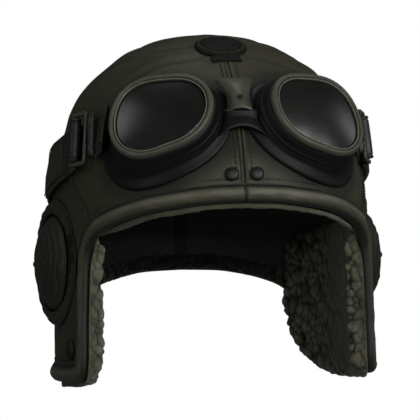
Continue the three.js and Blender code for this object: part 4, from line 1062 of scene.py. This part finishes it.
def seam_stitches():
    """Thread rows beside the middle seam, along the hem, beside the ear panels and round the patch."""
    rows = []
    for across in (-4.4, 4.4):
        for facing, low, high in ((0.0, 10.0, 82.0), (np.pi, -13.0, 104.0)):
            spots = beside_middle(facing, across, np.linspace(low, high, 160))
            rows.append(stitch_row(*shell_line(*spots, 0.32), 3.1))
    u = np.linspace(-1, 1, 1600)
    rise = HEM_STITCH - BINDING_WIDTH + binding_reach(u)
    hem, inner = near_edge(u, rise, 0.12), near_edge(u, rise, -1.0)
    rows.append(stitch_row(hem, hem - inner, 3.2))
    turn, z = smooth_rows(EAR_SEAM, 90)
    for side in SIDES.values():
        for shift in (-2.2, 2.0):
            rows.append(stitch_row(*shell_line(np.radians(turn + shift) * side, z, 0.3), 2.9))
    x, y = on_oval(np.linspace(0, 2 * np.pi, 200), 0.86)
    top, low = on_patch(x, y, GAP + 0.882 * PATCH_THICK), on_patch(x, y, GAP)
    rows.append(stitch_row(top, top - low, 2.6))
    return make_stitches("seam_stitches", rows, 2.5, 0.95, 0.42)


def strap_stitches():
    """Thread rows along both edges of the strap."""
    rows = []
    degrees = np.linspace(STRAP_START + 1.0, 360 - STRAP_START - 1.0, 900)
    for across in (-STRAP_LINE, STRAP_LINE):
        z = strap_rise(degrees) + across * STRAP_WIDTH
        off = STRAP_STAND + strap_thickness(degrees) - 0.1 + upright(degrees, across)
        rows.append(stitch_row(*shell_line(np.radians(degrees), z, off), 3.4))
    return make_stitches("strap_stitches", rows, 2.2, 0.7, 0.3)


# Materials

def put(tree, socket, value):
    """Sets a socket to a number or a colour, or links it to an output."""
    if hasattr(value, "links"):
        tree.links.new(value, socket)
    elif isinstance(value, tuple):
        socket.default_value = (*value, 1)
    else:
        socket.default_value = value


def node(tree, kind, inputs, **settings):
    """Shader node with its settings, and with its inputs set or linked by name or by number."""
    made = tree.nodes.new("ShaderNode" + kind)
    for key, value in settings.items():
        setattr(made, key, value)
    for key, value in inputs.items():
        put(tree, made.inputs[key], value)
    return made


def maths(tree, operation, *values, clamp=False):
    return node(tree, "Math", dict(enumerate(values)), operation=operation, use_clamp=clamp).outputs[0]


def ramp(tree, value, low, high, to_low=0.0, to_high=1.0):
    labels = ("Value", "From Min", "From Max", "To Min", "To Max")
    return node(tree, "MapRange", dict(zip(labels, (value, low, high, to_low, to_high)))).outputs["Result"]


def noise(tree, at, scale, detail, roughness, distortion=0.0):
    labels = ("Vector", "Scale", "Detail", "Roughness", "Distortion")
    values = (at, scale, detail, roughness, distortion)
    return node(tree, "TexNoise", dict(zip(labels, values))).outputs["Fac"]


def voronoi(tree, at, scale, feature):
    return node(tree, "TexVoronoi", {"Vector": at, "Scale": scale}, feature=feature).outputs["Distance"]


def blend(tree, factor, a, b):
    return node(tree, "Mix", {0: factor, 6: a, 7: b}, data_type="RGBA").outputs[2]


def object_coordinates(tree):
    return tree.nodes.new("ShaderNodeTexCoord").outputs["Object"]


def mark(tree, key):
    return node(tree, "Attribute", {}, attribute_name=key).outputs["Fac"]


FLOAT, COLOUR = "NodeSocketFloat", "NodeSocketColor"


def new_group(name, inputs, outputs, build):
    """Node group from its named sockets and a function that builds its outputs from its inputs."""
    tree = bpy.data.node_groups.new(name, "ShaderNodeTree")
    for label, kind, value in inputs:
        socket = tree.interface.new_socket(name=label, in_out="INPUT", socket_type=kind)
        if value is not None:
            socket.default_value = value
    for label, kind in outputs:
        tree.interface.new_socket(name=label, in_out="OUTPUT", socket_type=kind)
    given, out = tree.nodes.new("NodeGroupInput"), tree.nodes.new("NodeGroupOutput")
    for (label, _), made in zip(outputs, build(tree, *(given.outputs[entry[0]] for entry in inputs))):
        tree.links.new(made, out.inputs[label])
    return tree


def build_grain(tree, scale, depth, crumple):
    """Leather grain: pebbles from cell edges, fine pores and slow unevenness, as one height."""
    at = object_coordinates(tree)
    edges = ramp(tree, voronoi(tree, at, scale, "DISTANCE_TO_EDGE"), 0.0, 0.22)
    pores = noise(tree, at, maths(tree, "MULTIPLY", scale, 2.2), 3, 0.6)
    pebbles = maths(tree, "ADD", maths(tree, "MULTIPLY", edges, 0.65), maths(tree, "MULTIPLY", pores, 0.35))
    deep = maths(tree, "MULTIPLY", pebbles, depth)
    crumpled = noise(tree, at, 95.0, 4, 0.6, 0.6)
    return maths(tree, "MULTIPLY_ADD", crumpled, crumple, deep), noise(tree, at, 24.0, 4, 0.6)


def build_wear(tree, amount, break_up):
    """Worn edges: the piece's sharp edges, broken up by noise, come up as a mask, and its hollows as another,
    which leather and rubber use as painted shade and metal as tarnish."""
    sharp = tree.nodes.new("ShaderNodeNewGeometry").outputs["Pointiness"]
    broken = ramp(tree, noise(tree, object_coordinates(tree), break_up, 5, 0.65), 0.3, 0.7)
    edge = maths(tree, "MULTIPLY", ramp(tree, sharp, 0.505, 0.57), broken)
    return maths(tree, "MULTIPLY", edge, amount, clamp=True), ramp(tree, sharp, 0.5, 0.43)


def build_shades(tree, base, deep, bright, groove_shadow, rubbed_and_lit, blotches, amount):
    """Three shades mixed by masks: the base with blotches of the deep shade, the bright shade on worn places
    and painted highlights, and the deep shade as painted shade in grooves."""
    patchy = maths(tree, "MULTIPLY", ramp(tree, blotches, 0.3, 0.7), amount, clamp=True)
    return (blend(tree, groove_shadow, blend(tree, rubbed_and_lit, blend(tree, patchy, base, deep), bright), deep),)


GRAIN = new_group(
    "leather_grain",
    [("Pebble Scale", FLOAT, 700.0), ("Pebble Depth", FLOAT, 0.5), ("Crumple", FLOAT, 0.3)],
    [("Height", FLOAT), ("Blotches", FLOAT)],
    build_grain,
)
WEAR = new_group(
    "edge_wear",
    [("Edge Amount", FLOAT, 1.0), ("Break Up", FLOAT, 140.0)],
    [("Worn", FLOAT), ("Hollow", FLOAT)],
    build_wear,
)
SHADES = new_group(
    "shade_mix",
    [("Base", COLOUR, None), ("Groove Shade", COLOUR, None), ("Rubbed Shade", COLOUR, None),
     ("Groove", FLOAT, 0.0), ("Rubbed", FLOAT, 0.0), ("Blotches", FLOAT, 0.5), ("Blotch Amount", FLOAT, 0.3)],
    [("Color", COLOUR)],
    build_shades,
)


def use(tree, group, *values):
    """Node group in a tree, with its inputs given in their order. Comes back as its outputs."""
    made = tree.nodes.new("ShaderNodeGroup")
    made.node_tree = group
    for socket, value in zip(made.inputs, values):
        put(tree, socket, value)
    return tuple(made.outputs)


def new_material(name, **plain):
    material = bpy.data.materials.new(name)
    material.use_nodes = True
    shader = material.node_tree.nodes["Principled BSDF"]
    for key, value in plain.items():
        shader.inputs[key.replace("_", " ")].default_value = value
    return material, material.node_tree, shader


def finish_material(tree, shader, colour, roughness=None, height=None, strength=0.0, distance=0.0):
    """Joins colour, roughness and a bump of the given height in millimetres to the shader."""
    tree.links.new(colour, shader.inputs["Base Color"])
    if roughness is not None:
        tree.links.new(roughness, shader.inputs["Roughness"])
    if height is not None:
        inputs = {"Height": height, "Strength": strength, "Distance": distance * MM}
        tree.links.new(node(tree, "Bump", inputs).outputs["Normal"], shader.inputs["Normal"])


def either(tree, a, b, share=1.0):
    """The larger of one mask and a share of another."""
    return maths(tree, "MAXIMUM", a, b if share == 1.0 else maths(tree, "MULTIPLY", b, share))


def leather(name, base, deep, bright, pebble, depth, crumple, rough, wear_and_highlight=0.5, high=0.35, blotch=0.35,
            shine=0.28, inside=None):
    """Leather: pebbled and crumpled height, painted shade in grooves and hollows, worn edges and painted
    highlights, uneven shine, and one plain shade on the inside where it is given."""
    material, tree, shader = new_material(name, Specular_IOR_Level=shine)
    height, blotches = use(tree, GRAIN, pebble, depth, crumple)
    worn, hollow = use(tree, WEAR, wear_and_highlight)
    groove_shadow = either(tree, mark(tree, "groove_shadow"), hollow, 0.6)
    rubbed_and_lit = either(tree, worn, mark(tree, "wear_and_highlight"), wear_and_highlight)
    colour, = use(tree, SHADES, base, deep, bright, groove_shadow, rubbed_and_lit, blotches, blotch)
    if inside is not None:
        colour = blend(tree, mark(tree, "inside"), colour, inside)
    finish_material(tree, shader, colour, ramp(tree, blotches, 0.3, 0.7, *rough), height, 0.7, high)
    return material


def metal(name, base, deep, bright, rough, metallic, wear_and_highlight=0.8):
    """Old metal: tarnish in blotches and hollows, painted shade in marked grooves, brushed fine scratches,
    bright worn edges.
    """
    material, tree, shader = new_material(name, Metallic=metallic)
    at = object_coordinates(tree)
    worn, hollow = use(tree, WEAR, wear_and_highlight)
    spots, fine = noise(tree, at, 60.0, 6, 0.65), noise(tree, at, 1500.0, 3, 0.6)
    groove_shadow = either(tree, hollow, mark(tree, "groove_shadow"))
    rubbed_and_lit = either(tree, worn, mark(tree, "wear_and_highlight"), wear_and_highlight)
    colour, = use(tree, SHADES, base, deep, bright, groove_shadow, rubbed_and_lit, spots, 0.5)
    roughness = ramp(tree, maths(tree, "MULTIPLY_ADD", fine, 0.4, spots), 0.3, 0.9, *rough)
    finish_material(tree, shader, colour, roughness, fine, 0.12, 0.05)
    return material


def fleece(name, base, deep, bright):
    """Clipped wool: painted shade between the locks, painted highlight on their tips, and a fine fibrous
    height.
    """
    material, tree, shader = new_material(
        name, Roughness=0.9, Specular_IOR_Level=0.15, Sheen_Weight=0.25, Sheen_Roughness=0.5)
    at = object_coordinates(tree)
    fibre = noise(tree, at, 520.0, 6, 0.75, 1.2)
    clump = maths(tree, "MULTIPLY", voronoi(tree, at, 330.0, "F1"), -0.5)
    tips = maths(tree, "MULTIPLY", ramp(tree, fibre, 0.3, 0.7), mark(tree, "wear_and_highlight"))
    blotches = noise(tree, at, 40.0, 3, 0.6)
    colour, = use(tree, SHADES, base, deep, bright, mark(tree, "groove_shadow"), tips, blotches, 0.4)
    finish_material(tree, shader, colour, None, maths(tree, "MULTIPLY_ADD", fibre, 0.7, clump), 1.0, 0.9)
    return material


def rubber(name, base, deep, bright):
    """Old rubber: a soft sheen with a dusty bloom on its edges, painted shade in its grooves and hollows, and
    a faint grain.
    """
    material, tree, shader = new_material(name, Specular_IOR_Level=0.25)
    height, blotches = use(tree, GRAIN, 1400.0, 0.3, 0.3)
    worn, hollow = use(tree, WEAR, 0.5)
    groove_shadow = either(tree, mark(tree, "groove_shadow"), hollow)
    colour, = use(tree, SHADES, base, deep, bright, groove_shadow, worn, blotches, 0.3)
    finish_material(tree, shader, colour, ramp(tree, blotches, 0.3, 0.7, 0.42, 0.6), height, 0.4, 0.12)
    return material


def smoked_glass(name, dark, light):
    """Smoked lens: near black, with slow streaks in its shade and in its shine."""
    material, tree, shader = new_material(name, Specular_IOR_Level=0.5)
    streaks = noise(tree, object_coordinates(tree), 18.0, 5, 0.6, 0.5)
    colour = blend(tree, ramp(tree, streaks, 0.35, 0.7), dark, light)
    finish_material(tree, shader, colour, ramp(tree, streaks, 0.3, 0.7, 0.26, 0.33))
    return material


# Shades are given as base, deep and bright. Leather then has pebble scale and depth, crumple, roughness, and
# the amount of wear and painted highlight
LEATHER_SKIN = leather("crown_leather", (0.046, 0.0455, 0.026), (0.009, 0.009, 0.006), (0.115, 0.113, 0.082),
                       620.0, 0.45, 0.6, (0.5, 0.68), 0.8, blotch=0.55, inside=(0.06, 0.06, 0.056))
LEATHER_BINDING = leather("binding_leather", (0.058, 0.057, 0.036), (0.01, 0.01, 0.008), (0.17, 0.166, 0.125),
                          900.0, 0.3, 0.4, (0.4, 0.56), 0.9)
# Darker copy of the crown leather for the ear cups and the buckle chapes: painted shade, as the cups sit in
# shade.
SHADED_EAR_LEATHER = leather("ear_leather", (0.024, 0.0235, 0.0155), (0.003, 0.003, 0.0022), (0.085, 0.083, 0.06),
                      900.0, 0.4, 0.5, (0.38, 0.55), 0.35)
LEATHER_STRAP = leather("strap_leather", (0.034, 0.033, 0.0215), (0.004, 0.004, 0.003), (0.07, 0.067, 0.048),
                        1000.0, 0.35, 0.5, (0.42, 0.6), 0.7)
LEATHER_PATCH = leather("patch_leather", (0.008, 0.0082, 0.0068), (0.006, 0.006, 0.005), (0.05, 0.05, 0.04),
                        1000.0, 0.35, 0.4, (0.6, 0.75), 0.3, shine=0.12)
THREAD = leather("waxed_thread", (0.02, 0.02, 0.014), (0.008, 0.008, 0.006), (0.05, 0.05, 0.036),
                 2500.0, 0.5, 0.2, (0.5, 0.65), high=0.1)
WOOL = fleece("clipped_fleece", (0.095, 0.093, 0.06), (0.007, 0.007, 0.0045), (0.27, 0.263, 0.186))
# Darker copy of the fleece for the nape trim: painted shade for the shade inside the back of the helmet.
SHADED_WOOL = fleece("shaded_fleece", (0.012, 0.012, 0.0085), (0.003, 0.003, 0.002), (0.03, 0.029, 0.021))
# Metal then has roughness, metallic share, and the amount of wear and painted highlight
RIM_METAL = metal("goggle_metal", (0.082, 0.08, 0.057), (0.012, 0.0117, 0.0085), (0.25, 0.242, 0.185),
                  (0.42, 0.58), 0.25)
STEEL = metal("nickelled_steel", (0.045, 0.045, 0.044), (0.01, 0.01, 0.009), (0.15, 0.15, 0.146),
              (0.42, 0.56), 0.85)
BRONZED = metal("bronzed_frame", (0.02, 0.0197, 0.0147), (0.006, 0.006, 0.0045), (0.09, 0.088, 0.07),
                (0.42, 0.6), 0.4, 0.9)
DARK_STEEL = metal("dark_steel", (0.02, 0.02, 0.017), (0.008, 0.008, 0.007), (0.1, 0.1, 0.085),
                   (0.34, 0.5), 0.6, 0.7)
RUBBER = rubber("goggle_rubber", (0.003, 0.003, 0.0031), (0.0012, 0.0012, 0.00124), (0.014, 0.014, 0.0136))
GLASS = smoked_glass("smoked_glass", (0.005, 0.005, 0.0047), (0.014, 0.014, 0.0125))


# Pieces

PANELS = ("leather_crown_left", "leather_crown_right", "leather_side_left", "leather_side_right")
dress(make_shell(), LEATHER_SKIN, "leather", *PANELS)
dress(make_binding(), LEATHER_BINDING, "binding_leather", "edge_binding")
# Lips of the middle seam: the side it faces, lowest and highest place, height over the leather
for end, *course in (("front", 0.0, 9.5, 83.0, 0.5), ("back", np.pi, -15.0, 104.0, 0.45)):
    for word, side in SIDES.items():
        dress(make_seam_lip(f"seam_lip_{end}_{word}", side, *course), LEATHER_SKIN, "leather")
dress(make_inner_tape(), LEATHER_STRAP, "leather")
for seed, (word, side) in enumerate(SIDES.items(), 3):
    dress(make_flap_fleece(f"flap_fleece_{word}", side, seed), WOOL, "fleece", f"fleece_flap_{word}")
APART = 1.5 / EDGE_LENGTH
BROW, NAPE_START = EDGE_SHARES[BROW_END] - APART, EDGE_SHARES[NAPE] + APART
dress(make_trim("brow_fleece", -BROW, BROW, 4.4, 5), WOOL, "fleece", "fleece_brow_trim")
dress(make_trim("nape_fleece", NAPE_START, 2 - NAPE_START, 1.0, 6), SHADED_WOOL, "fleece", "fleece_nape_trim")
dress(make_patch(), LEATHER_PATCH, "strap_leather", "crown_patch")
dress(make_patch_tab(), LEATHER_PATCH, "strap_leather", "patch_tab")
bridge = make_nose_piece("bridge_plate", BRIDGE_ROWS, BRIDGE_SWEEP, BRIDGE_THICK, 0.0, 3.0)
dress(bridge, RIM_METAL, "goggle_metal", "goggle_bridge")
nose_band = make_nose_piece("nose_band", NOSE_ROWS, NOSE_SWEEP, NOSE_THICK, 0.3, 7.0, 0.55)
dress(nose_band, RUBBER, "goggle_rubber", "goggle_nose_band")
STUD_Z = GOGGLE_RISE + 0.38 * RIM_RADIUS
STUD_PLACE = Frame(shell_by_height(0.0, STUD_Z, BRIDGE_STAND), seat_on_shell(0.0, STUD_Z).normal)
dress(make_dome("bridge_stud", STUD_PLACE, GAP, 1.7, 0.9), DARK_STEEL, "hardware_steel", "bridge_rivet")
dress(make_strap(), LEATHER_STRAP, "strap_leather", "goggle_strap")

SNAP_PLACE = seat_on_shell(np.radians(SNAP_TURN), SNAP_ABOVE_FOOT - FLAP_DROP)
for word, side in SIDES.items():
    seed = 40 if side > 0 else 60
    ring = make_ear_ring(f"ear_ring_{word}", side, seed)
    dress(ring, SHADED_EAR_LEATHER, "ear_leather", f"ear_cup_ring_{word}")
    cap = make_ear_cap(f"ear_cap_{word}", side, seed + 1)
    dress(cap, SHADED_EAR_LEATHER, "ear_leather", f"ear_cup_cap_{word}")
    for end, across in (("front", -SCREW_SPREAD), ("rear", SCREW_SPREAD)):
        screw = make_dome(f"ear_screw_{end}_on_{word}", EAR_PLACE, CAP_HEIGHT - SCREW_SUNK, SCREW_RADIUS,
                          SCREW_HEIGHT, side, 0.5, across)
        dress(screw, DARK_STEEL, "hardware_steel", f"ear_screw_{end}_{word}")
    rivet = make_dome(f"brow_stud_{word}", RIVET_PLACE, GAP, RIVET_RADIUS, RIVET_HEIGHT, side)
    dress(rivet, DARK_STEEL, "hardware_steel", f"brow_rivet_{word}")
    snap = make_dome(f"flap_snap_cap_{word}", SNAP_PLACE, GAP, SNAP_RADIUS, SNAP_HEIGHT, side)
    dress(snap, DARK_STEEL, "hardware_steel", f"flap_snap_{word}")
    dress(make_rim(f"rim_{word}", side), RIM_METAL, "goggle_metal", f"goggle_rim_{word}")
    dress(make_lens(f"lens_{word}", side), GLASS, "lens_glass", f"goggle_lens_{word}")
    dress(make_cup(f"cup_{word}", side), RUBBER, "goggle_rubber", f"goggle_cup_{word}")
    dress(make_tab(f"tab_{word}", side, seed + 2), LEATHER_STRAP, "strap_leather", f"strap_tab_{word}")
    # The chape under the buckle is a dark sheet of painted shadow.
    dress(make_shadow_chape(f"shadow_chape_{word}", side), SHADED_EAR_LEATHER, "strap_leather")
    dress(make_buckle(f"buckle_{word}", side), BRONZED, "hardware_steel", f"buckle_frame_{word}")
    dress(make_roller(f"roller_{word}", side), STEEL, "hardware_steel", f"buckle_roller_{word}")
    dress(make_sleeve(f"sleeve_{word}", side), STEEL, "hardware_steel", f"strap_sleeve_{word}")

dress(seam_stitches(), THREAD, "leather")
dress(strap_stitches(), THREAD, "strap_leather")


# Floor, light and camera

def show_white(tree, lit, glow, out):
    """Plain white to the eye, while its light on the helmet stays that of the lit surface."""
    seen = tree.nodes.new("ShaderNodeLightPath").outputs["Is Camera Ray"]
    white = node(tree, glow, {"Color": (1, 1, 1), "Strength": 1.0}).outputs[0]
    tree.links.new(node(tree, "MixShader", {0: seen, 1: lit, 2: white}).outputs[0], out.inputs["Surface"])


def stage_floor(size, z, colour):
    mesh = bpy.data.meshes.new("floor")
    corners = [(-size, -size, z), (size, -size, z), (size, size, z), (-size, size, z)]
    mesh.from_pydata(corners, [], [(0, 1, 2, 3)])
    material, tree, shader = new_material("floor_paint", Roughness=0.9, Specular_IOR_Level=0.1)
    shader.inputs["Base Color"].default_value = (*colour, 1)
    show_white(tree, shader.outputs[0], "Emission", tree.nodes["Material Output"])
    mesh.materials.append(material)
    place_in_scene("floor", mesh)


def set_place(holder, right, up, back, place):
    matrix = np.eye(4)
    matrix[:3] = np.stack((right, up, back, place), -1)
    holder.matrix_world = Matrix(matrix.tolist())


def area_light(name, place, target, size, power):
    light = bpy.data.lights.new(name, "AREA")
    light.shape = "RECTANGLE"
    light.size, light.size_y = size
    light.energy = power
    light.spread = 1.1
    back = unit(np.subtract(place, target))
    right = unit(np.cross((0, 0, 1), back))
    set_place(place_in_scene(name, light), right, np.cross(back, right), back, place)


# Lamps: place and aim in metres, width and height, power
LAMPS = (
    ("key_light", (0.85, -1.2, 0.25), (0, -0.05, 0.02), (0.4, 0.4), 0.95),
    ("front_light", (0.1, -1.42, 0.14), (0, -0.05, 0.03), (0.4, 0.35), 0.62),
    ("top_light", (0.0, 0.05, 1.35), (0, -0.02, 0.04), (0.7, 0.5), 0.45),
    ("left_fill", (-1.15, -0.8, -0.05), (0, -0.05, 0.02), (0.4, 0.4), 0.22),
    ("left_light", (-1.0, -0.33, 0.76), (-0.05, -0.1, 0.04), (0.25, 0.5), 0.17),
    ("right_light", (1.2, -0.08, 0.48), (0.05, -0.1, 0.04), (0.22, 0.5), 0.135),
)
stage_floor(6.0, -0.6, (0.8, 0.8, 0.8))
for lamp in LAMPS:
    area_light(*lamp)

world = bpy.data.worlds.new("studio_air")
world.use_nodes = True
air = world.node_tree
dim = air.nodes["Background"]
dim.inputs["Color"].default_value = (1, 1, 1, 1)
dim.inputs["Strength"].default_value = 0.05
show_white(air, dim.outputs[0], "Background", air.nodes["World Output"])
bpy.context.scene.world = world
bpy.context.scene.view_settings.view_transform = "Standard"

# Camera: turned round the helmet, lowered and rolled, in degrees, then focal length and picture in pixels
TURNED, LOWERED, ROLLED = np.radians((-10.3, -5.0, 1.93))
FOCAL, PICTURE, SENSOR = 1800, 420, 36
# Its way from the place that it looks at
WAY, AIM = 1120, (3.5, 0, 6)
back = np.array([np.sin(TURNED) * np.cos(LOWERED), -np.cos(TURNED) * np.cos(LOWERED), np.sin(LOWERED)])
right = np.array([np.cos(TURNED), np.sin(TURNED), 0.0])
up = np.cross(back, right)
camera = bpy.data.cameras.new("camera")
camera.sensor_width = SENSOR
camera.lens = FOCAL / PICTURE * SENSOR
camera.clip_end = 100
holder = place_in_scene("camera", camera)
set_place(holder, np.cos(ROLLED) * right - np.sin(ROLLED) * up, np.sin(ROLLED) * right + np.cos(ROLLED) * up,
          back, (AIM + WAY * back) * MM)
bpy.context.scene.camera = holder
